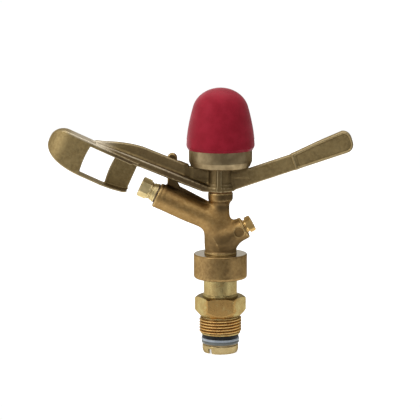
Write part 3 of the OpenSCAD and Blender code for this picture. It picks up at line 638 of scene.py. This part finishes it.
def arm_field(x, y, z):
    """Distance to the whole arm: web, spoon, tail and hub, cut clear of the cup above and the post below."""
    rho = np.hypot(x, y)
    parts = web_field(x, y, z)
    parts = soft_min(parts, spoon_field(x, y, z), 1.2)
    parts = soft_min(parts, tail_field(x, y, z), 1.0)
    parts = soft_min(parts, hub_field(x, y, z), 1.6)
    saddle = np.maximum(np.maximum(SADDLE_Z - z, z - CUP_Z - SADDLE_TOP), np.abs(x) - SADDLE_R)
    thick = np.where(x < 0, np.maximum(y - WEB_BACK, -SADDLE_FRONT - y), np.abs(y) - WEB_BACK)
    parts = soft_min(parts, soft_max(saddle, thick, 0.8), 1.0)
    under_cup = np.maximum(rho - CUP_R - CUP_CLEARANCE, CUP_Z - z)
    over_post = np.maximum(rho - POST_CLEARANCE_R, z - HUB_Z)
    parts = soft_max(parts, -under_cup, 0.4)
    return soft_max(parts, -over_post, 0.5)


def arm_painted_shade(x, y, z):
    """Painted shade on the arm casting: it grows along the web towards the hub and fades into the tail, leaves
    the vane clear, and is stronger on the front of the web's flange, but for a clearer stretch of it."""
    web = 0.64 * ease(x, -84, -42) * (1 - 0.8 * ease(x, 9, 26))
    web = web * (1 - 0.9 * ease(y, 2.6, 3.4) * ease(-x, 46, 54))
    clearer = 0.8 * ease(x, -58, -50) * (1 - ease(x, -40, -24))
    flange = 0.8 * ease(x, -84, -58) * (1 - clearer)
    return np.minimum(web + flange * ease(-y, 2.8, 4.4) * ease(-x, 6, 14), 1)


def arm_painted_highlight(x, y, z):
    """Painted highlights on the arm: along the spoon's upper rail and the front edge of the web's flange."""
    a, v = tilted(x, z, SPOON_Z, SPOON_TILT)
    rail = ease(v, SPOON_HIGH - 1.5, SPOON_HIGH - 0.5) * ease(-a, 76, 90)
    rail = rail * ease(a, SPOON_TIP + 5, SPOON_TIP + 16)
    a, v = tilted(x, z, WEB_Z, WEB_TILT)
    edge = ease(v, 3.2, 4.0) * ease(-y, 4.2, 5.0) * ease(-a, 10, 40) * ease(a, -86, -80)
    return np.maximum(0.8 * rail, 0.45 * edge)


# ---------------------------------------------------------------- finishes

class Wire:
    """A socket in a tree of nodes; arithmetic on it adds Math nodes. Without a socket it starts a tree."""

    def __init__(self, tree, socket=None):
        self.tree = tree
        self.socket = socket

    def node(self, kind, settings=None, inputs=None, output=0):
        """Adds any other node: its settings first, then a value or a link for each named socket."""
        made = self.tree.nodes.new(kind)
        for key, value in (settings or {}).items():
            setattr(made, key, value)
        for key, value in (inputs or {}).items():
            if isinstance(value, Wire):
                self.tree.links.new(value.socket, made.inputs[key])
            else:
                made.inputs[key].default_value = value
        return Wire(self.tree, made.outputs[output] if made.outputs else None)

    def math(self, operation, *values):
        """A Math node on these values."""
        return self.node("ShaderNodeMath", {"operation": operation}, dict(enumerate(values)))

    def __add__(self, other):
        return self.math("ADD", self, other)

    def __sub__(self, other):
        return self.math("SUBTRACT", self, other)

    def __rsub__(self, other):
        return self.math("SUBTRACT", other, self)

    def __mul__(self, other):
        return self.math("MULTIPLY", self, other)

    def __pow__(self, other):
        return self.math("POWER", self, other)

    __radd__ = __add__
    __rmul__ = __mul__

    def parts(self):
        """The three numbers of a vector."""
        made = self.node("ShaderNodeSeparateXYZ", None, {0: self}).socket.node
        return [Wire(self.tree, socket) for socket in made.outputs]

    def ray(self, kind):
        """1 where the ray that arrives is of this kind, and 0 elsewhere."""
        return self.node("ShaderNodeLightPath", output=kind)

    def stored(self, name):
        """A number that the piece keeps on its points."""
        return self.node("ShaderNodeAttribute", {"attribute_name": name}, output=2)

    def band(self, low, high, out_low=0.0, out_high=1.0):
        """Maps low..high smoothly to out_low..out_high, held at both ends."""
        names = {"Value": self, "From Min": low, "From Max": high, "To Min": out_low, "To Max": out_high}
        return self.node("ShaderNodeMapRange", {"interpolation_type": "SMOOTHSTEP"}, names)

    def noise(self, size, detail, rough, stretch=(1, 1, 1), offset=(0, 0, 0)):
        """Noise on object coordinates with features of about size millimetres, stretched along an axis."""
        moved = self.node("ShaderNodeMapping", None, {"Vector": self, "Scale": stretch, "Location": offset})
        return self.node("ShaderNodeTexNoise", None,
                         {"Vector": moved, "Scale": 1 / (size * MM), "Detail": detail, "Roughness": rough})

    def blend(self, low, high):
        """Colour low where this wire is 0 and high where it is 1."""
        low, high = (colour if isinstance(colour, Wire) else (*colour, 1) for colour in (low, high))
        return self.node("ShaderNodeMix", {"data_type": "RGBA"}, {0: self, 6: low, 7: high}, 2)


def finish(name):
    """A new material: its shader, and a wire that carries object coordinates in metres."""
    material = bpy.data.materials.new(name)
    material.use_nodes = True
    tree = material.node_tree
    return material, tree.nodes["Principled BSDF"], Wire(tree).node("ShaderNodeTexCoord", output="Object")


def feed(shader, colour, roughness, relief):
    """Plugs the three wires of a finish into its shader."""
    for key, wire in (("Base Color", colour), ("Roughness", roughness), ("Normal", relief)):
        wire.tree.links.new(wire.socket, shader.inputs[key])


def bump(place, height, distance, strength, under=None):
    """A Bump node: height in units of distance millimetres, over another bump if one is given."""
    names = {"Strength": strength, "Distance": distance * MM, "Height": height}
    if under is not None:
        names["Normal"] = under
    return place.node("ShaderNodeBump", None, names)


def shade(colour, level):
    """A colour brought down to a level of its strength."""
    return tuple(level * c for c in colour)


EDGE_TINT = (0.52, 0.49, 0.45, 1)
# Colour of the painted highlights on the arm's spoon rail and flange edge
HIGHLIGHT_COLOUR = (0.60, 0.53, 0.41)


def brighten(shader):
    """Makes a shader's surface metal, dulled where it is seen edge on."""
    shader.inputs["Metallic"].default_value = 1.0
    shader.inputs["Specular Tint"].default_value = EDGE_TINT


def cast_brass(name, dark, mid, light, rough, grain=0.55, shade_and_wear=None, machined_top_glare=None):
    """Blasted brass casting: blotches of patina and a fine grain. With the two colours given for shade and
    wear, it gets painted shade and painted highlights from its own attributes, worn edges and painted shade in
    its corners; above the height given for its top, in millimetres, it is machined smoother and painted the
    colour that follows, a near-white painted reflection of the bright room."""
    material, shader, place = finish(name)
    blotch = place.noise(9, 4, 0.6).band(0.36, 0.66)
    fleck = place.noise(1.7, 3, 0.65, offset=(0.3, 0.1, 0.2)).band(0.35, 0.7)
    colour = (fleck * 0.55).blend(blotch.blend(dark, mid), light)
    roughness = place.noise(3.2, 3, 0.6).band(0.3, 0.7, *rough)
    if shade_and_wear:
        shade_colour, edge = shade_and_wear
        bulge = place.stored("bulge")
        worn = (bulge + place.noise(1.3, 2, 0.6).band(0.3, 0.7, -0.25, 0.25)).band(0.3, 1.2)
        # corners and creases, where the surface bends inwards, are marked for painted shade
        sunk = bulge.band(-0.9, -0.1, 1.0, 0.0)
        # painted shade where the stored attribute says, then worn edges, painted highlights and painted shade
        # in corners
        colour = place.stored("painted_shade").blend(colour, shade_colour)
        colour = (worn * 0.7).blend(colour, edge)
        colour = place.stored("painted_highlight").blend(colour, HIGHLIGHT_COLOUR)
        colour = (sunk * 0.6).blend(colour, shade(dark, 0.5))
        roughness = roughness - worn * 0.1
    if machined_top_glare:
        # the top is machined smoother, and its colour is a near-white painted reflection of the bright room
        height, bright = machined_top_glare
        above = place.parts()[2].band((height - 0.1) * MM, height * MM)
        colour = above.blend(colour, bright)
        roughness = roughness - above * 0.2
    brighten(shader)
    grains = place.noise(grain, 2, 0.6)
    lumps = place.noise(2.6, 2, 0.5, offset=(0.7, 0.2, 0.5))
    relief = bump(place, grains, 0.05, 0.55, bump(place, lumps, 0.22, 0.35))
    feed(shader, colour, roughness, relief)
    return material


def turned_brass(name, dark, light, rough, streaks=0.0, valley_dark=None, front_shade=None):
    """Machined brass: fine tool rings round the axis, or drawn streaks along it as strong as streaks says,
    with faint handling stains; with a pair of radii given, in millimetres, a thread is darker in its valleys
    and clears up to its crests between them, and with a colour given for the front, a warmer painted shade
    lies on the -Y side below the hexagon's top."""
    material, shader, place = finish(name)
    colour = place.noise(6, 3, 0.55).band(0.35, 0.7).blend(dark, light)
    if streaks:
        marks, depth = place.noise(0.5, 3, 0.65, stretch=(1, 1, 0.04)), 0.5
        colour = (marks.band(0.35, 0.7) * streaks).blend(colour, shade(dark, 0.62))
    else:
        marks, depth = place.noise(0.16, 2, 0.7, stretch=(0.02, 0.02, 1)), 0.55
    # a warmer painted shade on the -Y side, by the hexagon and its flare
    if front_shade:
        _, y, z = place.parts()
        front = y + place.noise(3, 3, 0.6).band(0.3, 0.7, -2 * MM, 2 * MM)
        spot = front.band(-13.2 * MM, -10.2 * MM, 1, 0) * z.band(HEX_TOP * MM, (HEX_TOP + 2) * MM, 0.85, 0.3)
        colour = spot.blend(colour, front_shade)
    # darker in a thread's valleys, clearing up to its crests
    if valley_dark:
        x, y, _ = place.parts()
        valley, crest = valley_dark
        clear = ((x ** 2 + y ** 2) ** 0.5).band(valley * MM, crest * MM)
        colour = clear.blend(shade(dark, 0.5), colour)
    roughness = place.noise(2.4, 3, 0.6).band(0.3, 0.72, *rough)
    brighten(shader)
    pores = place.noise(0.35, 2, 0.6, offset=(0.4, 0.6, 0.1))
    relief = bump(place, marks, 0.02, depth, bump(place, pores, 0.012, 0.5))
    feed(shader, colour, roughness, relief)
    return material


def plastic(name, dark, light, rough, grain, specular=0.45, darker_below=None, tint=(1, 1, 1)):
    """Moulded plastic or rubber: a soft mottle, a fine mould grain and slight dulling; with a height given, in
    millimetres, and a colour, it takes that darker colour below the height."""
    material, shader, place = finish(name)
    colour = place.noise(7, 3, 0.55).band(0.35, 0.68).blend(dark, light)
    if darker_below:
        height, lower_colour = darker_below
        colour = place.parts()[2].band((height - 0.2) * MM, (height + 0.2) * MM).blend(lower_colour, colour)
    roughness = place.noise(3, 3, 0.6).band(0.3, 0.7, *rough)
    shader.inputs["Specular IOR Level"].default_value = specular
    shader.inputs["Specular Tint"].default_value = (*tint, 1)
    relief = bump(place, place.noise(grain, 2, 0.55), 0.03, 0.35)
    feed(shader, colour, roughness, relief)
    return material


BODY_FINISH = cast_brass("body_casting", (0.295, 0.174, 0.061), (0.365, 0.223, 0.081), (0.455, 0.295, 0.117),
                         (0.38, 0.54), shade_and_wear=((0.125, 0.08, 0.035), (0.48, 0.34, 0.15)))
ARM_FINISH = cast_brass("arm_casting", (0.25, 0.178, 0.076), (0.335, 0.246, 0.110), (0.42, 0.316, 0.147),
                        (0.46, 0.62), shade_and_wear=((0.12, 0.080, 0.039), (0.38, 0.30, 0.17)))
# The hood's top face has a near-white painted reflection above the given height
HOOD_FINISH = cast_brass("hood_casting", (0.205, 0.127, 0.05), (0.29, 0.185, 0.072), (0.385, 0.255, 0.106),
                         (0.28, 0.40), machined_top_glare=(BODY_Z - 0.02, (0.9, 0.84, 0.70)))
BRONZE_FINISH = cast_brass("bronze", (0.16, 0.08, 0.03), (0.28, 0.15, 0.06), (0.36, 0.21, 0.09),
                           (0.40, 0.55), grain=0.4)
# The nipple's hexagon gets a warmer painted shade on its -Y side
NIPPLE_FINISH = turned_brass("nipple_brass", (0.36, 0.26, 0.105), (0.44, 0.355, 0.155), (0.25, 0.37),
                             streaks=0.3, front_shade=(0.33, 0.19, 0.061))
THREAD_FINISH = turned_brass("thread_brass", (0.52, 0.31, 0.11), (0.64, 0.42, 0.16), (0.24, 0.36),
                             valley_dark=(THREAD_R - TOOTH, THREAD_R - 0.25))
NOZZLE_FINISH = turned_brass("nozzle_brass", (0.54, 0.43, 0.21), (0.68, 0.55, 0.29), (0.34, 0.48))
REAR_FINISH = turned_brass("rear_nozzle_brass", (0.58, 0.38, 0.14), (0.74, 0.50, 0.19), (0.28, 0.42))
FLANGE_FINISH = turned_brass("tube_brass", (0.345, 0.26, 0.12), (0.43, 0.335, 0.17), (0.22, 0.34))
CUP_FINISH = turned_brass("cup_brass", (0.23, 0.17, 0.09), (0.34, 0.26, 0.145), (0.34, 0.48))
STEEL_FINISH = turned_brass("steel", (0.40, 0.40, 0.41), (0.60, 0.60, 0.61), (0.22, 0.36))
RED_FINISH = plastic("cap_plastic", (0.25, 0.0125, 0.0235), (0.295, 0.016, 0.030), (0.34, 0.44), 0.6,
                     specular=0.12, tint=(1.0, 0.28, 0.34))
RUBBER_FINISH = plastic("black_rubber", (0.006, 0.006, 0.006), (0.012, 0.012, 0.012), (0.5, 0.7), 0.4,
                        specular=0.2)
SEAL_FINISH = plastic("seal_rubber", (0.055, 0.026, 0.014), (0.09, 0.045, 0.024), (0.45, 0.65), 0.4)
NYLON_FINISH = plastic("grey_nylon", (0.27, 0.31, 0.35), (0.36, 0.40, 0.44), (0.34, 0.48), 0.5,
                       darker_below=(NYLON_SPLIT, (0.12, 0.13, 0.12)))
WHITE_FINISH = plastic("white_plastic", (0.62, 0.61, 0.56), (0.74, 0.73, 0.69), (0.38, 0.52), 0.5)


# ---------------------------------------------------------------- pieces

def casting(name, field, stored, node, body, material):
    """A casting worked out from its distance field, over the box of its CAD node. On its points it keeps
    how far its surface bulges, and each number that stored names and works out."""
    low, high = span(node)
    points, faces = net(field, low - CAST_MARGIN, high + CAST_MARGIN, CAST_STEP)
    piece = build(name, points, faces, node, body, material, sharp=None)
    wear(piece, field, points)
    for key, worked_out in stored.items():
        keep(piece, key, worked_out(*points.T))


def rowed(name, rows, node, body, material, place=None, sharp=SHARP):
    """A piece made of closed rows, of which the last joins the first, moved by place(points) if given."""
    points, faces = skin_rows(rows, loop=True)
    if place:
        points = place(points)
    build(name, points, faces, node, body, material, sharp)


def lathe(name, corners, node, body, material):
    """A turned ring from rounded (radius, height, rounding) corners, inner wall to outer wall and back."""
    rowed(name, turn(rounded(corners)), node, body, material)


def lean(z0, degrees, heading):
    """Returns what lays a piece that stands on +Z down along an axis that leaves (0, 0, z0) towards heading
    (+1 or -1 on X) and rises by degrees."""
    t = np.radians(degrees)
    along = np.array([heading * np.cos(t), 0, np.sin(t)])
    side = np.array([0.0, heading, 0.0])
    third = np.cross(side, along)

    def place(points):
        return np.array([0, 0, z0]) + points[:, :1] * third + points[:, 1:2] * side + points[:, 2:] * along
    return place


# Inlet nipple: a thread, then a hexagon with turned ends, a flare and the polished neck
low, high = (corner[2] for corner in span("bearing_nipple"))
rowed("nipple_thread", threaded(THREAD_R, THREAD_LOW, THREAD_TOP, PITCH, TOOTH, TUBE_WAY_R), "bearing_nipple",
      "nipple", THREAD_FINISH, sharp=None)
lathe("nipple_end", [(TUBE_WAY_R, low, 0.2), (NOSE_R, low, 0.2), (NOSE_R, SHOULDER_Z, 0),
                     (SHOULDER_R, SHOULDER_Z, 0.15), (SHANK_R, SHANK_Z, 0.15), (SHANK_R, THREAD_LOW, 0.1),
                     (TUBE_WAY_R, THREAD_LOW, 0)],
      "bearing_nipple", "nipple", NIPPLE_FINISH)
corner_r = HEX_AF / 2 / np.cos(np.pi / 6)
rowed("nipple_hexagon", hexed([(TUBE_WAY_R, THREAD_TOP, 0), (RELIEF_R, THREAD_TOP, 0), (RELIEF_R, HEX_Z, 0.3),
                               (RELIEF_R + 0.3, HEX_Z, 0.1), (corner_r, HEX_Z + HEX_FOOT_CONE, 0.3),
                               (corner_r, HEX_TOP - HEX_TOP_CONE, 0.2),
                               (corner_r - HEX_TOP_CUT, HEX_TOP, 0.2), (FLARE_R, HEX_TOP, 0.1),
                               (FLARE_R, HEX_TOP + FLARE_H, 0.3), (NECK_R, HEX_TOP + NECK_FOOT, 0.3),
                               (NECK_R, high - NECK_EDGE, 0.15), (NECK_R - NECK_EDGE, high, 0.15),
                               (TUBE_WAY_R, high, 0)],
                              HEX_AF, turn_by=30, start=HEX_Z - 1),
      "bearing_nipple", "nipple", NIPPLE_FINISH)

# Washers under the nipple
low, high = span("rubber_washer")
lathe("rubber_washer_ring", [(WASHER_BORE_R, low[2], 0.15), (high[0], low[2], 0.3),
                             (high[0], RUBBER_STEP_Z, 0.3), (RUBBER_STEP_R, RUBBER_STEP_Z, 0),
                             (RUBBER_STEP_R, high[2], 0), (WASHER_BORE_R, high[2], 0.15)],
      "rubber_washer", "washers", RUBBER_FINISH)
low, high = span("nylon_washer")
nylon_r, groove_r = high[0] + NYLON_GROWN, high[0] + NYLON_GROWN - NYLON_GROOVE
lathe("nylon_washer_ring", [(WASHER_BORE_R, low[2], 0.15), (nylon_r - 0.3, low[2], 0.4),
                            (nylon_r - 0.1, NYLON_SPLIT - 0.5, 0.4), (groove_r, NYLON_SPLIT - 0.3, 0.2),
                            (groove_r, NYLON_SPLIT + 0.2, 0.2), (nylon_r, NYLON_SPLIT + 0.4, 0.4),
                            (nylon_r - 0.1, high[2], 0.6), (WASHER_BORE_R, high[2], 0.15)],
      "nylon_washer", "washers", NYLON_FINISH)
low, high = span("backing_washer")
lathe("backing_washer_ring", [(WASHER_BORE_R, low[2], 0.15), (high[0], low[2], 0.2), (high[0], high[2], 0.2),
                              (WASHER_BORE_R, high[2], 0.15)],
      "backing_washer", "washers", CUP_FINISH)


def flange_field(x, y, z):
    """Distance to the flange: a disc, tapered below, with a widened mouth and a driving slot across it."""
    rho = np.hypot(x, y)
    over_mouth = z - FLANGE_LOW - FLANGE_MOUTH
    bore = np.minimum(rho - TUBE_BORE_R, np.maximum(rho - FLANGE_MOUTH_R, over_mouth))
    disc = soft_max(outline(rho, z, FLANGE_SIDE), -bore, 0.3)
    heading = np.radians(SLOT_HEADING)
    across = np.abs(y * np.cos(heading) - x * np.sin(heading))
    return soft_max(disc, -np.maximum(across - SLOT_HALF, over_mouth), 0.3)


# Stem tube and its slotted flange
points, faces = net(flange_field, np.array([0, 0, FLANGE_LOW]) - FLANGE_REACH,
                    np.array([0, 0, FLANGE_TOP]) + FLANGE_REACH, FLANGE_STEP)
build("flange", points, faces, "stem_tube", "head", FLANGE_FINISH, sharp=30)
lathe("tube", [(TUBE_BORE_R, FLANGE_TOP, 0), (TUBE_R, FLANGE_TOP, 0), (TUBE_R, TUBE_TOP, 0.2),
               (TUBE_BORE_R, TUBE_TOP, 0.2)],
      "stem_tube", "head", FLANGE_FINISH)

# Hood over the bearing spring
low, high = span("spring_hood")
hood_r, hood_z, hood_top = high[0] + HOOD_GROWN, low[2], high[2]
lathe("hood", [(WASHER_BORE_R, hood_top - HOOD_ROOF, 0.2), (hood_r - HOOD_WALL, hood_top - HOOD_ROOF, 0.6),
               (hood_r - HOOD_WALL, hood_z, 0.3), (hood_r, hood_z, 1.7), (hood_r, hood_top, 1.0),
               (WASHER_BORE_R, hood_top, 0.2)],
      "spring_hood", "head", HOOD_FINISH)


def coil(mean_r, wire_r, low, high, turns, closed):
    """Rings round the wire of a compression spring. Its middle line is (R cos a, R sin a, h), with h level
    over the closed share of a turn at each end and of even pitch between; a point shuts each end."""
    rings_per_turn, sides = 48, 18
    a = np.linspace(0, 2 * np.pi * turns, int(turns * rings_per_turn))
    share = np.clip((a / (2 * np.pi) - closed) / (turns - 2 * closed), 0, 1)
    h = low + wire_r + (high - low - 2 * wire_r) * share
    a, h = np.r_[a[0], a, a[-1]][:, None], np.r_[h[0], h, h[-1]][:, None]
    wire = np.full(a.shape, wire_r)
    wire[[0, -1]] = 0
    b = -np.linspace(0, 2 * np.pi, sides, endpoint=False)
    return rings(mean_r + wire * np.cos(b), h + wire * np.sin(b), a)


# Bearing spring, left free of the bodies; the real one shortens as the head is pressed down
spring_low, spring_high = span("bearing_spring")
points, faces = skin_rows(coil(spring_high[0] - SPRING_WIRE_R, SPRING_WIRE_R, spring_low[2], spring_high[2],
                               SPRING_TURNS, SPRING_CLOSED))
spring = build("bearing_coil", points, faces, "bearing_spring", None, STEEL_FINISH, sharp=50)
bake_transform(spring)

# Castings, with painted shade, and on the arm painted highlights, stored on their points
casting("body_casting", body_field, {"painted_shade": body_painted_shade}, "sprinkler_body", "head",
        BODY_FINISH)
casting("arm_casting", arm_field, {"painted_shade": arm_painted_shade, "painted_highlight": arm_painted_highlight}, "impact_arm", "arm",
        ARM_FINISH)

# Front nozzle and its seal, on the barrel's axis: a screwed shank, a grooved neck and a hexagon with a bore
at, across_flats = BARREL_LEN, 11
inlet_r, shank_r, flange_r, neck_r, groove_r, mouth_r, bore_r = 4.5, 5.37, 6.05, 5.55, 5.05, 3.3, 2.4
hex_at, end, corner_r = at + 5.5, at + 11.3, across_flats / 2 / np.cos(np.pi / 6)
on_barrel = lean(NOZZLE_Z, BARREL_TILT, -1)
rowed("front_nozzle", hexed([(inlet_r, at - 10.5, 0.1), (shank_r, at - 10.5, 0.2), (shank_r, at + 0.6, 0),
                             (flange_r, at + 0.6, 0.15), (flange_r, at + 1.6, 0.2), (neck_r, at + 1.8, 0.1),
                             (neck_r, at + 3.2, 0.15), (groove_r, at + 3.5, 0.1), (groove_r, at + 4.1, 0.1),
                             (neck_r, at + 4.4, 0.15), (neck_r, hex_at - 0.1, 0), (5.9, hex_at, 0.1),
                             (corner_r, hex_at + 0.3, 0.15), (corner_r, end - 0.7, 0.15),
                             (corner_r - 0.7, end, 0.15), (mouth_r, end, 0.15), (bore_r, end - 1.2, 0.2),
                             (bore_r, end - 4, 0.3), (inlet_r, at - 6.5, 0.4)],
                            across_flats, turn_by=40, start=hex_at - 0.05),
      "range_nozzle", "head", NOZZLE_FINISH, place=on_barrel)
seal_r, seal_bore_r, seal_h = 6, 5.4, 0.6
rowed("front_seal", turn(rounded([(seal_bore_r, at, 0.1), (seal_r, at, 0.15), (seal_r, at + seal_h, 0.15),
                                  (seal_bore_r, at + seal_h, 0.1)])),
      "range_nozzle_seal", "head", SEAL_FINISH, place=on_barrel)

# Rear nozzle, on the boss's axis: a screwed shank, a flange and a hexagon with a bore
at, across_flats = BOSS_LEN, 9
inlet_r, shank_r, flange_r, neck_r, bore_r = 2.4, 3.57, 4.6, 4, 1.2
hex_at, end, corner_r = at + 1.8, at + 5.4, across_flats / 2 / np.cos(np.pi / 6)
rowed("rear_nozzle", hexed([(inlet_r, at - 6, 0.1), (shank_r, at - 6, 0.2), (shank_r, at, 0),
                            (flange_r, at, 0.1), (flange_r, at + 0.5, 0.15), (neck_r, at + 0.7, 0.1),
                            (neck_r, hex_at - 0.1, 0), (4.9, hex_at, 0.1), (corner_r, hex_at + 0.3, 0.1),
                            (corner_r, end - 0.6, 0.15), (corner_r - 0.6, end, 0.15), (bore_r, end, 0.2),
                            (bore_r, end - 3, 0.2), (inlet_r, at - 3, 0.3)],
                           across_flats, turn_by=30, start=hex_at - 0.05),
      "spreader_nozzle", "head", REAR_FINISH, place=lean(BOSS_Z, -BOSS_TILT, 1))

# Spring cup
lathe("cup", [(CUP_BORE_R, CUP_Z, 0.2), (CUP_R - 2.3, CUP_Z, 0.3), (CUP_R - 1.3, CUP_Z + 0.7, 0.3),
              (CUP_R - 0.3, CUP_Z + 3.1, 0.2), (CUP_R, CUP_Z + 3.9, 0.3), (CUP_R, CUP_TOP, 0.25),
              (CUP_R - CUP_WALL, CUP_TOP, 0.25), (CUP_R - CUP_WALL, CUP_Z + CUP_FLOOR, 0.8),
              (CUP_BORE_R, CUP_Z + CUP_FLOOR, 0.2)],
      "spring_cup", "arm", CUP_FINISH)


def cap_side(wall):
    """Profile of the cap from its lip to its crown, a wall's thickness inside the outer one: a side that
    narrows as t^1.7, then a quarter of an ellipse that starts at the angle where it has the side's slope."""
    t = np.linspace(0, 1, 24)[1:-1]
    sides = np.stack([CAP_EDGE_R - CAP_DROP * t ** CAP_POWER - wall, CAP_EDGE_Z + CAP_RISE * t], axis=1)
    join_r, join_h = CAP_EDGE_R - CAP_DROP - wall, CAP_HIGH[2] - CAP_EDGE_Z - CAP_RISE - wall
    slope = CAP_POWER * CAP_DROP / CAP_RISE * join_h / join_r
    begin = np.arcsin(slope / (1 - slope))
    crown_r, crown_h = join_r / np.cos(begin), join_h / (1 - np.sin(begin))
    b = np.linspace(begin, np.pi / 2, 30)
    crown = np.stack([crown_r * np.cos(b), CAP_HIGH[2] - wall - crown_h + crown_h * np.sin(b)], axis=1)
    crown[-1, 0] = 0
    return np.vstack([sides, crown])


# Hollow cap: plug and skirt, then up the outside and down the inside
outer, inner = cap_side(0), cap_side(CAP_WALL)[::-1]
inner = inner[inner[:, 1] > CUP_TOP + CAP_INSIDE_FOOT]
plug = rounded([(PLUG_R - PLUG_WALL, CAP_LOW[2], 0), (PLUG_R - PLUG_WALL, CAP_LOW[2], 0),
                (PLUG_R, CAP_LOW[2], 0.2), (PLUG_R, CUP_TOP, 0), (SKIRT_R, CUP_TOP, 0),
                (SKIRT_R, CUP_TOP - SKIRT_H, 0), (SKIRT_R + 0.4, CUP_TOP - SKIRT_H, 0.2),
                (CAP_EDGE_R, CAP_EDGE_Z, 0.5), (*outer[0], 0)])
shelf = [[PLUG_R - PLUG_WALL, CUP_TOP + CAP_SHELF]]
rowed("cap", turn(np.vstack([plug[:-1], outer, inner, shelf])), "spring_cap", "arm",
      RED_FINISH)

# CAD nodes that keep their shape
for material, nodes in (
        (STEEL_FINISH, ("arm_spring", "lower_spring_washer", "upper_spring_washer", "pivot_shaft",
                        "retainer_washer")),
        (WHITE_FINISH, ("stream_straightener", "spring_retainer")),
        (BRONZE_FINISH, ("thrust_washer", "arm_bushing")),
        (NOZZLE_FINISH, ("shaft_nut",))):
    for node in nodes:
        paint(frame["nodes"][node], material)


# ---------------------------------------------------------------- stage, light and camera

# Sizes and places are in metres here; the view is as wide as VIEW_WIDTH at the camera's aim
FLOOR_SIZE, FLOOR_AT = 1.14, (-0.37, 0.44, cad_low[2])
FLOOR_GREY, FLOOR_GLOW = 0.8, 0.62
WHITE = (1, 1, 1, 1)
CAMERA_AIM, CAMERA_AWAY, CAMERA_RISE = (-0.0065, 0, 0.0782), 1.3, 9.5
SENSOR, VIEW_WIDTH = 36, 0.26124

# Each lamp's name, place, size and watts; they all aim at one point
LAMPS = (("key", (-0.85, -0.55, 0.75), 0.6, 4), ("fill", (0.25, -1.0, 0.95), 0.6, 2),
         ("top", (0, 0.1, 1.0), 0.9, 3))
LIGHT_AIM = (0, 0, 0.07)

# The room's light by direction: from and to along an axis, and its level at each; BACKDROP is what shows
ROOM_AHEAD, ROOM_ACROSS, ROOM_ABOVE = (-0.98, -0.45, 0.5, 1.0), (-0.35, 0.35, 1.0, 0.5), (0.35, 0.9, 0.0, 0.9)
BACKDROP = 1.02


def emptied(owner):
    """Clears the node tree of a material or a world, and returns a wire to start it from."""
    owner.use_nodes = True
    owner.node_tree.nodes.clear()
    return Wire(owner.node_tree)


def stage_floor():
    """A pale floor that meets a white backdrop; the camera and gloss see it white, shaded by the object."""
    bpy.ops.mesh.primitive_plane_add(size=FLOOR_SIZE, location=FLOOR_AT)
    floor = bpy.context.object
    floor.name = "floor"
    material = bpy.data.materials.new("floor")
    seen = emptied(material).ray("Is Camera Ray")
    for kind in ("Is Glossy Ray", "Is Transmission Ray"):
        seen = seen.math("MAXIMUM", seen, seen.ray(kind))
    plain = seen.node("ShaderNodeBsdfDiffuse", None, {"Color": (FLOOR_GREY, FLOOR_GREY, FLOOR_GREY, 1)})
    glow = seen.node("ShaderNodeEmission", None, {"Color": WHITE, "Strength": seen * FLOOR_GLOW})
    both = seen.node("ShaderNodeAddShader", None, {0: plain, 1: glow})
    both.node("ShaderNodeOutputMaterial", None, {"Surface": both})
    paint(floor, material)


def world():
    """A white room: full white for the camera, a plainer level for the light, darker before the object and
    to its right, and bright above."""
    room = bpy.data.worlds.new("room")
    bpy.context.scene.world = room
    start = emptied(room)
    x, y, z = start.node("ShaderNodeTexCoord", output="Generated").parts()
    level = x.math("MAXIMUM", y.band(*ROOM_AHEAD) * x.band(*ROOM_ACROSS), z.band(*ROOM_ABOVE))
    level = start.node("ShaderNodeMix", {"data_type": "FLOAT"},
                       {0: start.ray("Is Camera Ray"), 2: level, 3: BACKDROP})
    glow = start.node("ShaderNodeBackground", None, {"Color": WHITE, "Strength": level})
    glow.node("ShaderNodeOutputWorld", None, {"Surface": glow})


def aimed(name, data, place, aim):
    """A lamp or a camera at a place, turned towards its aim."""
    item = bpy.data.objects.new(name, data)
    item.location = place
    item.rotation_mode = "QUATERNION"
    item.rotation_quaternion = (Vector(aim) - item.location).to_track_quat("-Z", "Y")
    bpy.context.scene.collection.objects.link(item)
    return item


def lamp(name, place, size, power):
    """A square soft box at a place."""
    data = bpy.data.lights.new(name, "AREA")
    data.shape = "SQUARE"
    data.size = size
    data.energy = power
    aimed(name, data, place, LIGHT_AIM)


def camera():
    """The camera looks straight at the barrel's side, a little from above."""
    rise = np.radians(CAMERA_RISE)
    data = bpy.data.cameras.new("camera")
    data.sensor_width = SENSOR
    data.lens = SENSOR * CAMERA_AWAY / VIEW_WIDTH
    place = Vector(CAMERA_AIM) + CAMERA_AWAY * Vector((0, -np.cos(rise), np.sin(rise)))
    bpy.context.scene.camera = aimed("camera", data, place, CAMERA_AIM)


stage_floor()
world()
for name, place, size, power in LAMPS:
    lamp(name, place, size, power)
camera()

bpy.context.scene.view_settings.view_transform = "Standard"
